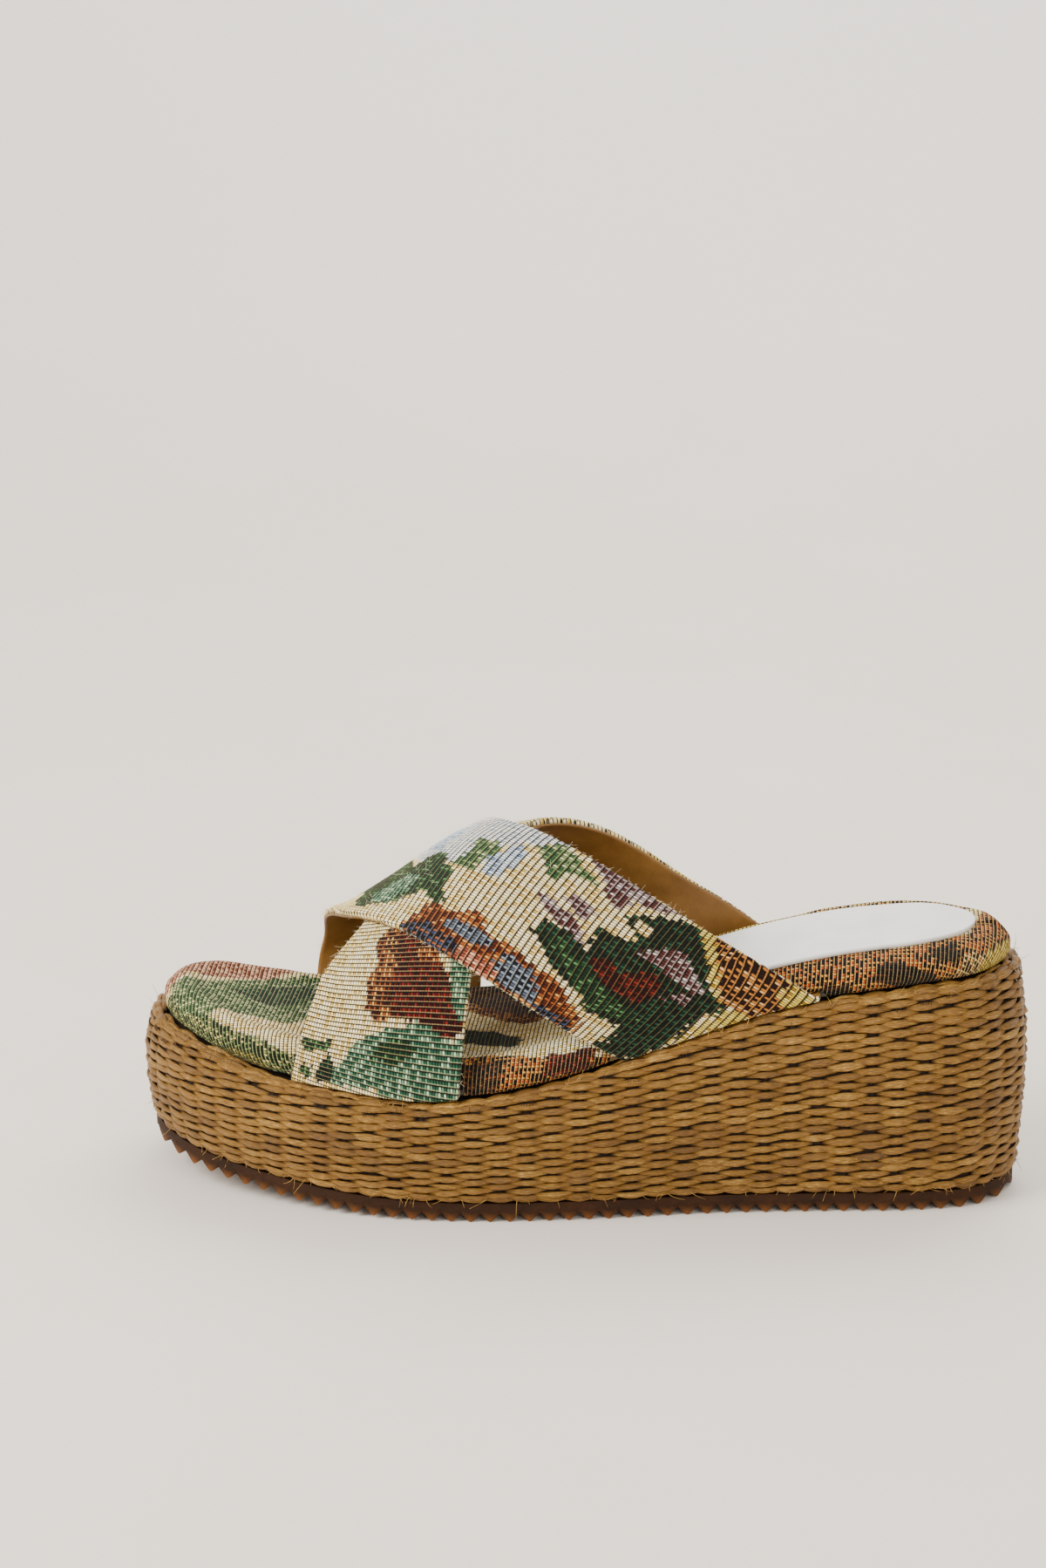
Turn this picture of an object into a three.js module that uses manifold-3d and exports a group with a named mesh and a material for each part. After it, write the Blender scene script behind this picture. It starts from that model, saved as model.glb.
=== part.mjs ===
// Left wedge slide sandal: crossed straps, cushioned footbed, woven-straw wedge and ribbed sole.
// Millimetres, +Z up. The toe points along -X and the outer (lateral) side faces -Y.
// The origin is on the floor, in the middle of the sole's length and width.
import * as THREE from 'three';
import Module from 'manifold-3d';

const wasm = await Module();
wasm.setup();

// ---------------------------------------------------------------- overall sizes
const soleLength = 260;
const soleWidth = 95;
const toeTop = 47; // top edge of the wedge wall above the floor, at the toe
const ballTop = 35; // the same at the ball of the foot
const heelTop = 69; // the same at the heel
const toeSpring = 9.4; // how far the toe end of the sole curves up
const springStart = 22; // the curve starts this far ahead of the middle
const gap = 0.3; // clearance between neighbouring layers

// The pattern below is drawn for this length and width, and graded to the sizes above.
const patternLength = 260;
const patternWidth = 95;
const gradeX = soleLength / patternLength;
const gradeY = soleWidth / patternWidth;

// ---------------------------------------------------------------- outsole
const ridgePitch = 5.55;
const ridgeDepth = 2.4;
const ridgeLand = 0.75; // flat tip of each ridge
const soleSheet = 3.1; // solid rubber above the ridges
const soleInset = 3; // the rubber stops this far inside the wall's widest line

// ---------------------------------------------------------------- wedge wall
const topEdgeInset = 3;
const bottomEdgeInset = 2;
const wrapThickness = 1.5;
const wrapTurnIn = 12; // width of straw folded over the top and under the bottom of the core
const edgeRound = 1.4; // soft corner where the straw folds over
const innerRound = 0.3; // the same on the layers under it
const foldStep = 0.6; // share of the turn-in where a layer's fold has one more line of points
const bulgeHeights = [0.3, 0.55, 0.8]; // shares of the wall's height where its bulge is set
const bulgeInsets = [0.25, 0, 0.3]; // share of the nearer edge's inset left at each of those heights
const backingThickness = 0.5;
const plateauClear = 1; // sideways room between the turned-in straw and the core's raised middle

// ---------------------------------------------------------------- footbed
const strapOuter = 0.7;
const strapInterlining = 0.5;
const strapLining = 0.7;
const boardThickness = 1.6;
const coverThickness = 0.7;
const coverTurnIn = 11;
const rimHeight = 10; // padded rim above the wall's top edge
const rimShoulder = 5; // the side of the rim starts to round over this far below its top
const rimFacets = [0.6, 2.2]; // how far the roll has fallen at half and at a quarter of its width
const dishFirst = 0.15; // share of the dish's depth reached at the top of the roll
const coverCorner = 0.9; // bevel where the cover turns in under the board
const coverSide = 1; // straight side of the cover above that bevel
const boardClear = 0.4; // extra room around the board's edge
const foamTaper = 0.5; // the foam's foot lies this far inside its shoulder
const dishDepth = 1.4; // the middle of the footbed lies this far below the rim
const rimWidth = 8; // from the side of the cushion to the top of its roll
const dishMiddle = 4; // from the top of the roll inwards to the full depth of the dish
const dishRamp = 30; // length over which the dish fades out towards the heel pad
const padInset = 13;
const padFront = 26; // front end of the heel pad, behind the middle of the sole
const padHeelGap = 3; // extra room between the pad's round end and the heel roll
const padThickness = 1.4;
const padEdgeRound = 0.6;

// ---------------------------------------------------------------- straps
const strapInset = 3.5; // outer face of a strap at its base, inside the wall's widest line
const strapLean = 0.35; // how far a strap leans in for each millimetre that it rises beside the rim
const strapTail = 12; // length lasted inwards under the footbed
const tailClear = 1; // room around the turned-in strap ends
const fillerClear = 0.5; // extra room that keeps the filler out of sight under the cushion
const interliningMargin = 1.5; // the stiffener stops this far from the strap's edges
const crossingGap = 0.6; // between the two straps where they cross
const crownShift = 3.4; // the crown leans this far towards the inner side
const archPower = 0.94; // 1 is an ellipse, less is squarer
const liftRamp = 0.15; // share of the arch over which the upper strap rises to clear the lower

// ---------------------------------------------------------------- resolution
const aroundSteps = 64;
const alongSteps = 28;
const acrossSteps = 6;
const outlineSamples = 512;
const pocketSteps = 8;
const padSteps = 14;
const mitreLimit = 0.7; // a layer's corner is lengthened by no more than one over this

// Straps' edges, as positions along the sole at even steps of the arch from the outer to the inner side.
const archStations = [0, 0.1, 0.2, 0.3, 0.4, 0.5, 0.65, 0.8, 0.9, 1];
const overFront = [15, -10, -33, -49, -61, -70, -77.5, -80, -82.5, -83.5];
const overRear = [70, 51, 31, 11, -8, -22, -29, -31, -32, -33];
const underFront = [-80, -78, -75, -71.5, -63, -53, -42, -28, -12, 2];
const underRear = [-31, -29.5, -28, -27, -24, -16.5, 4.5, 26, 44, 60];

// Crown of the arch above the floor, from the toe end backwards, on the lower strap's outer face.
const crownLine = [[-85, 69], [-70, 74], [-55, 84], [-40, 95], [-27, 102], [-10, 106], [15, 107.5], [50, 108]];

// Widest line of the wall in plan, clockwise from the toe along the outer side.
const outlinePattern = [
  [-130, 12], [-127, -4], [-113, -23], [-88, -37], [-58, -46.5], [-28, -47.5], [8, -42.3], [42, -35],
  [72, -31], [98, -28], [117, -21.5], [128, -7], [130, 4], [126, 18], [112, 31], [86, 37.5],
  [50, 37], [10, 39.5], [-30, 45.5], [-62, 47.5], [-95, 44.5], [-118, 36], [-128, 23],
];

// ---------------------------------------------------------------- curves
// Smooth curve through points sorted by x, straight beyond its ends.
function curveThrough(points) {
  const slopes = points.map((point, i) => {
    const before = points[Math.max(i - 1, 0)];
    const after = points[Math.min(i + 1, points.length - 1)];
    return (after[1] - before[1]) / (after[0] - before[0]);
  });
  return (x) => {
    let i = 0;
    while (i < points.length - 2 && x > points[i + 1][0]) i += 1;
    const [x0, y0] = points[i];
    const [x1, y1] = points[i + 1];
    if (x <= x0) return y0 + slopes[i] * (x - x0);
    if (x >= x1) return y1 + slopes[i + 1] * (x - x1);
    const width = x1 - x0;
    const t = (x - x0) / width;
    const start = (1 + 2 * t) * (1 - t) ** 2 * y0 + t * (1 - t) ** 2 * width * slopes[i];
    const end = t * t * (3 - 2 * t) * y1 + t * t * (t - 1) * width * slopes[i + 1];
    return start + end;
  };
}

const smooth = (t) => {
  const clamped = Math.min(Math.max(t, 0), 1);
  return clamped * clamped * (3 - 2 * clamped);
};

const graded = (points) => points.map(([x, y]) => [x * gradeX, y]);

const ramp = heelTop - ballTop;
const wallTop = curveThrough(graded([
  [-130, toeTop], [-112, toeTop - 3], [-90, ballTop + 4], [-66, ballTop + 1.8], [-38, ballTop],
  [-10, ballTop + 0.12 * ramp], [25, ballTop + 0.42 * ramp], [60, ballTop + 0.74 * ramp],
  [95, ballTop + 0.91 * ramp], [130, heelTop],
]));

function springAt(x) {
  const start = -springStart * gradeX;
  const reach = soleLength / 2 + start;
  return x < start ? toeSpring * ((start - x) / reach) ** 2 : 0;
}

const soleTop = (x) => springAt(x) + ridgeDepth + soleSheet;

// ---------------------------------------------------------------- outline
const outlineCurve = new THREE.CatmullRomCurve3(
  outlinePattern.map(([x, y]) => new THREE.Vector3(x * gradeX, y * gradeY, 0)), true, 'centripetal');
outlineCurve.arcLengthDivisions = outlineSamples * 4;

// Stations around the outline, with the toe tip between the last one and the first.
function stationsAround(count) {
  const stations = [];
  for (let i = 0; i < count; i += 1) {
    const at = (i + 0.5) / count;
    const point = outlineCurve.getPointAt(at);
    const tangent = outlineCurve.getTangentAt(at);
    stations.push({ x: point.x, y: point.y, inX: -tangent.y, inY: tangent.x });
  }
  return stations;
}

const stations = stationsAround(aroundSteps);
const fineStations = stationsAround(outlineSamples);

// Where the inset outline crosses a station of the sole: its y on the outer (-1) or inner (+1) side.
function sideAt(x, side, inset) {
  let best = null;
  for (let i = 0; i < outlineSamples; i += 1) {
    const here = insetPoint(fineStations[i], inset);
    const next = insetPoint(fineStations[(i + 1) % outlineSamples], inset);
    const lateral = next.x > here.x;
    const crosses = (here.x - x) * (next.x - x) <= 0 && here.x !== next.x;
    if (crosses && lateral === (side < 0)) {
      best = here.y + (next.y - here.y) * (x - here.x) / (next.x - here.x);
    }
  }
  return best;
}

function insetPoint(station, inset) {
  return { x: station.x + station.inX * inset, y: station.y + station.inY * inset };
}

// ---------------------------------------------------------------- mesh helpers
function geometryFrom(positions, triangles) {
  const geometry = new THREE.BufferGeometry();
  geometry.setAttribute('position', new THREE.Float32BufferAttribute(positions, 3));
  geometry.setIndex(signedVolume(positions, triangles) < 0 ? reversed(triangles) : triangles);
  geometry.computeVertexNormals();
  return geometry;
}

function signedVolume(positions, triangles) {
  let total = 0;
  const corner = (index) => new THREE.Vector3().fromArray(positions, index * 3);
  for (let i = 0; i < triangles.length; i += 3) {
    const [a, b, c] = [corner(triangles[i]), corner(triangles[i + 1]), corner(triangles[i + 2])];
    total += a.dot(b.cross(c)) / 6;
  }
  return total;
}

function reversed(triangles) {
  const out = [];
  for (let i = 0; i < triangles.length; i += 3) out.push(triangles[i], triangles[i + 2], triangles[i + 1]);
  return out;
}

function pushQuad(triangles, a, b, c, d) {
  triangles.push(a, b, c, a, c, d);
}

// Joins rings of equal length into one closed body. A looped body joins its last ring to its first,
// and any other is closed by a ladder of quads across each end ring.
function bodyFromRings(rings, looped) {
  const count = rings[0].length;
  const positions = rings.flat(2);
  const triangles = [];
  const last = looped ? rings.length : rings.length - 1;
  for (let r = 0; r < last; r += 1) {
    const low = r * count;
    const high = ((r + 1) % rings.length) * count;
    for (let i = 0; i < count; i += 1) {
      const j = (i + 1) % count;
      pushQuad(triangles, low + i, low + j, high + j, high + i);
    }
  }
  if (!looped) {
    const top = (rings.length - 1) * count;
    for (let i = 0; i < count / 2 - 1; i += 1) {
      const across = count - 1 - i;
      pushQuad(triangles, i, across, across - 1, i + 1);
      pushQuad(triangles, top + i, top + i + 1, top + across - 1, top + across);
    }
  }
  return geometryFrom(positions, triangles);
}

// Sweeps a profile of [inset, height] points around the outline. The profile is drawn for the heights
// of the sole and of the wall's top edge, and each of its points takes those heights at its own place.
function sweepAround(profileAt, looped) {
  const heightsAt = (x) => profileAt(soleTop(x), wallTop(x), x);
  const columns = stations.map((station) => heightsAt(station.x).map(([inset], r) => {
    const { x, y } = insetPoint(station, inset);
    return [x, y, heightsAt(x)[r][1]];
  }));
  const rings = columns[0].map((_, r) => columns.map((column) => column[r]));
  return bodyFromRings(rings, looped);
}

// Moves a profile sideways by a distance, to its left where the distance is positive.
function offsetProfile(profile, distance) {
  return profile.map(([inset, z], i) => {
    const before = profile[Math.max(i - 1, 0)];
    const after = profile[Math.min(i + 1, profile.length - 1)];
    const first = new THREE.Vector2(inset - before[0], z - before[1]).normalize();
    const second = new THREE.Vector2(after[0] - inset, after[1] - z).normalize();
    const along = first.clone().add(second).normalize();
    const reference = first.lengthSq() > 0 ? first : second;
    const mitre = distance / Math.max(along.dot(reference), mitreLimit);
    return [inset - along.y * mitre, z + along.x * mitre];
  });
}

// Manifold solid from a geometry whose vertices are shared.
function solidFrom(geometry) {
  const positions = geometry.getAttribute('position').array;
  const byPlace = new Map();
  const merged = [];
  const remap = [];
  for (let i = 0; i < positions.length; i += 3) {
    const key = [positions[i], positions[i + 1], positions[i + 2]].map((v) => v.toFixed(4)).join(' ');
    if (!byPlace.has(key)) {
      byPlace.set(key, byPlace.size);
      merged.push(positions[i], positions[i + 1], positions[i + 2]);
    }
    remap.push(byPlace.get(key));
  }
  const corners = geometry.index ? [...geometry.index.array] : remap.map((_, i) => i);
  const triVerts = Uint32Array.from(corners.map((corner) => remap[corner]));
  return new wasm.Manifold(new wasm.Mesh({ numProp: 3, vertProperties: Float32Array.from(merged), triVerts }));
}

function geometryOf(solid) {
  const mesh = solid.getMesh();
  return geometryFrom([...mesh.vertProperties], [...mesh.triVerts]);
}

function prism(points, bottom, top) {
  const shape = new THREE.Shape(points.map(([x, y]) => new THREE.Vector2(x, y)));
  const geometry = new THREE.ExtrudeGeometry(shape, { depth: top - bottom, bevelEnabled: false, steps: 1 });
  return solidFrom(geometry.translate(0, 0, bottom));
}

// ---------------------------------------------------------------- outsole
// The ridges run straight across the sole. Their side view is extruded and trimmed to the outline.
function outsoleGeometry() {
  const reach = soleLength / 2 + ridgePitch;
  const ridges = Math.ceil(reach / ridgePitch);
  const sideView = [];
  for (let ridge = -ridges; ridge <= ridges; ridge += 1) {
    const tip = ridge * ridgePitch;
    sideView.push([tip - ridgePitch / 2, springAt(tip - ridgePitch / 2) + ridgeDepth]);
    sideView.push([tip - ridgeLand / 2, springAt(tip)]);
    sideView.push([tip + ridgeLand / 2, springAt(tip)]);
  }
  const end = (ridges + 0.5) * ridgePitch;
  for (let x = end; x > -end; x -= 2 * ridgePitch) sideView.push([x, soleTop(x)]);
  sideView.push([-end, soleTop(-end)]);
  const shape = new THREE.Shape(sideView.map(([x, z]) => new THREE.Vector2(x, z)));
  const slab = new THREE.ExtrudeGeometry(shape, { depth: 2 * soleWidth, bevelEnabled: false, steps: 1 });
  slab.rotateX(Math.PI / 2).translate(0, soleWidth, 0);
  const plan = stations.map((station) => insetPoint(station, soleInset)).map(({ x, y }) => [x, y]);
  return geometryOf(solidFrom(slab).intersect(prism(plan, -1, heelTop)));
}

// ---------------------------------------------------------------- wedge wall
const bulgeInset = (i) => bulgeInsets[i] * (bulgeHeights[i] < 0.5 ? bottomEdgeInset : topEdgeInset);

// Face of a layer at a depth inside the straw's outer face: from its fold under the core, up the
// bulging wall, to its fold over the top.
function wallFace(bottom, top, depth) {
  const round = Math.max(edgeRound - depth, innerRound);
  const low = bottom + gap + depth;
  const high = top - depth;
  const height = high - low;
  return [
    [bottomEdgeInset + wrapTurnIn, low],
    [bottomEdgeInset + foldStep * wrapTurnIn, low],
    [bottomEdgeInset + depth + round, low],
    [bottomEdgeInset + depth, low + round],
    ...bulgeHeights.map((share, i) => [bulgeInset(i) + depth, low + share * height]),
    [topEdgeInset + depth, high - round],
    [topEdgeInset + depth + round, high],
    [topEdgeInset + foldStep * wrapTurnIn, high],
    [topEdgeInset + wrapTurnIn, high],
  ];
}

const wallLayer = (outerDepth, innerDepth) => (bottom, top) => [
  ...wallFace(bottom, top, outerDepth),
  ...wallFace(bottom, top, innerDepth).reverse(),
];

const backingOutside = wrapThickness + gap;
const backingInside = backingOutside + backingThickness;
const coreDepth = backingInside + gap;

// The foam core fills the wall and rises between the turned-in edges of the straw, top and bottom.
function coreProfile(bottom, top) {
  const face = wallFace(bottom, top, coreDepth);
  const lowStep = bottomEdgeInset + wrapTurnIn + plateauClear;
  const highStep = topEdgeInset + wrapTurnIn + plateauClear;
  return [
    [lowStep, bottom + gap],
    [lowStep, face[0][1]],
    ...face.slice(1, -1),
    [highStep, face[face.length - 1][1]],
    [highStep, top],
  ];
}

// ---------------------------------------------------------------- footbed
const tailStack = strapOuter + gap + strapLining;
const strapStack = strapOuter + gap + strapInterlining + gap + strapLining;
const coverBase = gap + tailStack + gap; // underside of the cover, above the wall's top edge
const boardBase = coverBase + coverThickness + gap;
const footbedInset = strapInset + strapLean * rimHeight; // side of the cushion, clear of the straps
const fillerInset = footbedInset + tailClear + fillerClear;

// The footbed is dished ahead of the heel pad, and flat under it.
const dishAt = (x) => dishDepth * smooth((padFront * gradeX - x) / dishRamp);

// Outer face of the footbed cover, from the dished middle, over the rim roll and in under the board.
function cushionFace(top, x) {
  const side = footbedInset;
  const dish = dishAt(x);
  const crest = top + rimHeight;
  return [
    [side + rimWidth + dishMiddle, crest - dish],
    [side + rimWidth, crest - dishFirst * dish],
    [side + 0.75 * rimWidth, crest],
    [side + 0.5 * rimWidth, crest - rimFacets[0]],
    [side + 0.25 * rimWidth, crest - rimFacets[1]],
    [side, crest - rimShoulder],
    [side, top + coverBase + coverSide],
    [side + coverCorner, top + coverBase],
    [side + coverTurnIn, top + coverBase],
  ];
}

function coverProfile(_, top, x) {
  const face = cushionFace(top, x);
  return [...face, ...offsetProfile(face, coverThickness).reverse()];
}

// The foam fills the cover above the board, from the dish to the rim's shoulder and down to the board.
function foamProfile(_, top, x) {
  const shoulder = 5;
  const face = offsetProfile(cushionFace(top, x), coverThickness + gap).slice(0, shoulder + 1);
  const base = top + boardBase + boardThickness + gap;
  return [...face, [face[shoulder][0] + foamTaper, base]];
}

function boardProfile(_, top) {
  const side = footbedInset + coverThickness + 2 * gap + boardClear;
  return [[side, top + boardBase], [side, top + boardBase + boardThickness]];
}

// The filler levels the wedge's top between the turned-in ends of the straps.
function fillerGeometry() {
  const sheet = sweepAround((_, top) => [[fillerInset, top + gap], [fillerInset, top + gap + tailStack]], false);
  const strapEnds = [
    [overFront[0], overRear[0], -1], [underFront[0], underRear[0], -1],
    [overFront.at(-1), overRear.at(-1), 1], [underFront.at(-1), underRear.at(-1), 1],
  ];
  let solid = solidFrom(sheet);
  for (const [front, rear, side] of strapEnds) {
    solid = solid.subtract(tailPocket(front * gradeX - tailClear, rear * gradeX + tailClear, side));
  }
  return geometryOf(solid);
}

function tailPocket(front, rear, side) {
  const inner = [];
  for (let i = 0; i <= pocketSteps; i += 1) {
    const x = front + (rear - front) * i / pocketSteps;
    inner.push([x, sideAt(x, side, strapInset) - side * (strapTail + tailClear)]);
  }
  return prism([...inner, [rear, side * soleWidth], [front, side * soleWidth]], 0, heelTop + rimHeight);
}

// The heel pad follows the heel's outline and ends square under the straps.
function heelPadGeometry() {
  const rear = soleLength / 2 - padInset - padHeelGap;
  const front = padFront * gradeX;
  const xs = [];
  for (let i = 0; i <= padSteps; i += 1) xs.push(front + (rear - front) * Math.sin((Math.PI / 2) * i / padSteps));
  const middle = (x) => (sideAt(x, -1, padInset) + sideAt(x, 1, padInset)) / 2;
  const halfWidth = (x) => (sideAt(x, 1, padInset) - sideAt(x, -1, padInset)) / 2;
  const roundStart = rear - halfWidth(front);
  const narrowing = (x) => Math.sqrt(Math.max(1 - (Math.max(x - roundStart, 0) / (rear - roundStart)) ** 2, 0));
  const outline = (side, shrink) => xs.slice(0, -1).map((x) => {
    const y = middle(x) + side * (halfWidth(Math.min(x, roundStart)) * narrowing(x) - shrink);
    return [x, y];
  });
  const ring = (shrink, height) => {
    const outer = outline(-1, shrink);
    const inner = outline(1, shrink).reverse();
    return [...outer, ...inner].map(([x, y]) => [x, y, wallTop(x) + rimHeight + height]);
  };
  const rings = [
    ring(0, gap), ring(0, gap + padThickness - padEdgeRound), ring(padEdgeRound, gap + padThickness)];
  return bodyFromRings(rings, false);
}

// ---------------------------------------------------------------- straps
const crownHeight = curveThrough(graded(crownLine));
const edgeCurve = (edge) => curveThrough(archStations.map((share, i) => [share, edge[i] * gradeX]));

// Point on the arch over the foot: share 0 is its base on the outer side and 1 its base on the inner side.
function archPoint(x, share) {
  const outer = sideAt(x, -1, strapInset);
  const inner = sideAt(x, 1, strapInset);
  const angle = Math.PI * share;
  const base = wallTop(x) + gap;
  const rise = Math.max(Math.sin(angle), 0) ** archPower;
  const y = (outer + inner) / 2 + crownShift * Math.sin(angle) - (inner - outer) / 2 * Math.cos(angle);
  return new THREE.Vector3(x, y, base + (crownHeight(x) - base) * rise);
}

// A strap's outer face as rows across it: a tail turned in at each end, and the arch between them.
// The margin keeps a layer back from the strap's front and rear edges.
function strapRows(frontEdge, rearEdge, margin) {
  const frontAt = edgeCurve(frontEdge);
  const rearAt = edgeCurve(rearEdge);
  const rows = [];
  const addRow = (share, inwards) => {
    const front = frontAt(share) + margin;
    const width = rearAt(share) - margin - front;
    const points = [];
    for (let j = 0; j <= acrossSteps; j += 1) {
      const point = archPoint(front + width * j / acrossSteps, share);
      point.y += inwards;
      points.push(point);
    }
    rows.push({ share, points });
  };
  addRow(0, strapTail);
  addRow(0, strapTail / 2);
  for (let i = 0; i <= alongSteps; i += 1) addRow(i / alongSteps, 0);
  addRow(1, -strapTail / 2);
  addRow(1, -strapTail);
  return rows;
}

// Unit normals of the face, lengthened at the fold so that a layer keeps its thickness round it.
function rowNormals(rows) {
  const last = rows.length - 1;
  return rows.map(({ points }, i) => points.map((point, j) => {
    const across = points[Math.min(j + 1, acrossSteps)].clone().sub(points[Math.max(j - 1, 0)]);
    const steps = [];
    if (i > 0) steps.push(point.clone().sub(rows[i - 1].points[j]).normalize());
    if (i < last) steps.push(rows[i + 1].points[j].clone().sub(point).normalize());
    const along = steps.reduce((sum, step) => sum.clone().add(step), new THREE.Vector3()).normalize();
    return across.cross(along).normalize().divideScalar(Math.max(along.dot(steps[0]), mitreLimit));
  }));
}

// One layer of a strap. Its depth below the outer face, and the lift of the whole strap, vary along it.
function strapLayer(rows, depthAt, thickness, liftAt) {
  const normals = rowNormals(rows);
  const outwards = normals[Math.floor(rows.length / 2)][0].z > 0 ? 1 : -1;
  const face = (extra) => rows.map((row, i) => row.points.map((point, j) => {
    const move = outwards * (liftAt(row.share) - depthAt(row) - extra);
    return point.clone().addScaledVector(normals[i][j], move);
  }));
  return slabBetween(face(0), face(thickness));
}

function slabBetween(outer, inner) {
  const columns = outer[0].length;
  const size = outer.length * columns;
  const positions = [...outer.flat(), ...inner.flat()].flatMap((point) => point.toArray());
  const triangles = [];
  const at = (i, j) => i * columns + j;
  for (let i = 0; i < outer.length - 1; i += 1) {
    for (let j = 0; j < columns - 1; j += 1) {
      pushQuad(triangles, at(i, j), at(i + 1, j), at(i + 1, j + 1), at(i, j + 1));
      pushQuad(triangles, size + at(i, j), size + at(i, j + 1), size + at(i + 1, j + 1), size + at(i + 1, j));
    }
    pushQuad(triangles, at(i, 0), size + at(i, 0), size + at(i + 1, 0), at(i + 1, 0));
    const edge = columns - 1;
    pushQuad(triangles, at(i, edge), at(i + 1, edge), size + at(i + 1, edge), size + at(i, edge));
  }
  const last = outer.length - 1;
  for (let j = 0; j < columns - 1; j += 1) {
    pushQuad(triangles, at(0, j), at(0, j + 1), size + at(0, j + 1), size + at(0, j));
    pushQuad(triangles, at(last, j), size + at(last, j), size + at(last, j + 1), at(last, j + 1));
  }
  return geometryFrom(positions, triangles);
}

const overLift = (share) => (strapStack + crossingGap) * smooth(share / liftRamp) * smooth((1 - share) / liftRamp);
const noLift = () => 0;

// ---------------------------------------------------------------- assembly
const sandal = new THREE.Group();

function addPart(name, geometry, color, roughness) {
  const material = new THREE.MeshStandardMaterial({ color, roughness, metalness: 0 });
  const mesh = new THREE.Mesh(geometry, material);
  mesh.name = name;
  sandal.add(mesh);
}

function addStrap(name, frontEdge, rearEdge, liftAt) {
  const rows = strapRows(frontEdge, rearEdge, 0);
  const innerRows = strapRows(frontEdge, rearEdge, interliningMargin);
  const archRows = innerRows.filter(({ share }) => share > 0 && share < 1);
  const atFold = (row) => row.share === 0 || row.share === 1;
  const interliningDepth = () => strapOuter + gap;
  const liningDepth = (row) => (atFold(row) ? strapOuter + gap : strapStack - strapLining);
  addPart(`${name}_outer`, strapLayer(rows, () => 0, strapOuter, liftAt), 0xd9c99a, 0.9);
  addPart(`${name}_interlining`, strapLayer(archRows, interliningDepth, strapInterlining, liftAt), 0xe8e4da, 0.95);
  addPart(`${name}_lining`, strapLayer(rows, liningDepth, strapLining, liftAt), 0xb07b45, 0.55);
}

addPart('outsole', outsoleGeometry(), 0x8a5a38, 0.7);
addPart('wedge_core', sweepAround(coreProfile, false), 0xe9e2d2, 0.9);
addPart('raffia_backing', sweepAround(wallLayer(backingOutside, backingInside), true), 0x6b4a24, 0.95);
addPart('raffia_wrap', sweepAround(wallLayer(0, wrapThickness), true), 0xb8925a, 0.6);
addPart('bottom_filler', fillerGeometry(), 0xa98a64, 0.95);
addPart('insole_board', sweepAround(boardProfile, false), 0xc8b48a, 0.9);
addPart('footbed_foam', sweepAround(foamProfile, false), 0xf2ecd8, 0.95);
addPart('footbed_cover', sweepAround(coverProfile, false), 0x9a8560, 0.9);
addPart('heel_pad', heelPadGeometry(), 0xf4f1ea, 0.5);
addStrap('strap_over', overFront, overRear, overLift);
addStrap('strap_under', underFront, underRear, noLift);

export default sandal;
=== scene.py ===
import math

import bpy
import numpy as np
from mathutils import Matrix, Vector


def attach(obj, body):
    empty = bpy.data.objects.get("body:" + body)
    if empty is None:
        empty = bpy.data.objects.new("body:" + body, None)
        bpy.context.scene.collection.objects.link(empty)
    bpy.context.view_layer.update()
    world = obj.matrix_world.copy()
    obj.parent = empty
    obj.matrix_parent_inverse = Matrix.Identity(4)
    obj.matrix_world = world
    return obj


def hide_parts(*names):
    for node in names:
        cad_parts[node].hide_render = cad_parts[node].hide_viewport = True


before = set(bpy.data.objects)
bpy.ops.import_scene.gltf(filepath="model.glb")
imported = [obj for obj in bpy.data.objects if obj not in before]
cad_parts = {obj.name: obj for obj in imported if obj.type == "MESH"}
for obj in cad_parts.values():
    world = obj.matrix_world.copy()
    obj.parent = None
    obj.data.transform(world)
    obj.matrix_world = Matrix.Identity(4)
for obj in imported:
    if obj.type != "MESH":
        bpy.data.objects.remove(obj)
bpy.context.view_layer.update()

# Sizes are in millimetres in the part's own frame: +X to the heel, -Y to the outer side, +Z up.
MM = 0.001
chance = np.random.default_rng(7)

# ---------------------------------------------------------------- the sandal's sizes, as in the CAD
sole_length = 260
toe_top = 47
ball_top = 35
heel_top = 69
toe_spring = 9.4
spring_start = 22
ridge_pitch = 5.55
ridge_depth = 2.4
sole_sheet = 3.1
sole_inset = 3
gap = 0.3
bottom_edge_inset = 2
top_edge_inset = 3
fold_radius = 1.4
strap_outer = 0.7
strap_interlining = 0.5
strap_lining = 0.7
strap_inset = 3.5
strap_tail = 12
crossing_gap = 0.6
lift_ramp = 0.15
crown_shift = 3.4
arch_power = 0.94
board_thickness = 1.6
cover_thickness = 0.7
cover_turn_in = 11
footbed_inset = 7
rim_height = 10
dish_depth = 1.4
dish_ramp = 30
pad_front = 26
pad_inset = 13
pad_heel_gap = 3
pad_thickness = 1.4

outline_pattern = [
    (-130, 12), (-127, -4), (-113, -23), (-88, -37), (-58, -46.5), (-28, -47.5), (8, -42.3), (42, -35),
    (72, -31), (98, -28), (117, -21.5), (128, -7), (130, 4), (126, 18), (112, 31), (86, 37.5),
    (50, 37), (10, 39.5), (-30, 45.5), (-62, 47.5), (-95, 44.5), (-118, 36), (-128, 23),
]
crown_line = [(-85, 69), (-70, 74), (-55, 84), (-40, 95), (-27, 102), (-10, 106), (15, 107.5), (50, 108)]
arch_stations = [0, 0.1, 0.2, 0.3, 0.4, 0.5, 0.65, 0.8, 0.9, 1]
over_front = [15, -10, -33, -49, -61, -70, -77.5, -80, -82.5, -83.5]
over_rear = [70, 51, 31, 11, -8, -22, -29, -31, -32, -33]
under_front = [-80, -78, -75, -71.5, -63, -53, -42, -28, -12, 2]
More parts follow.
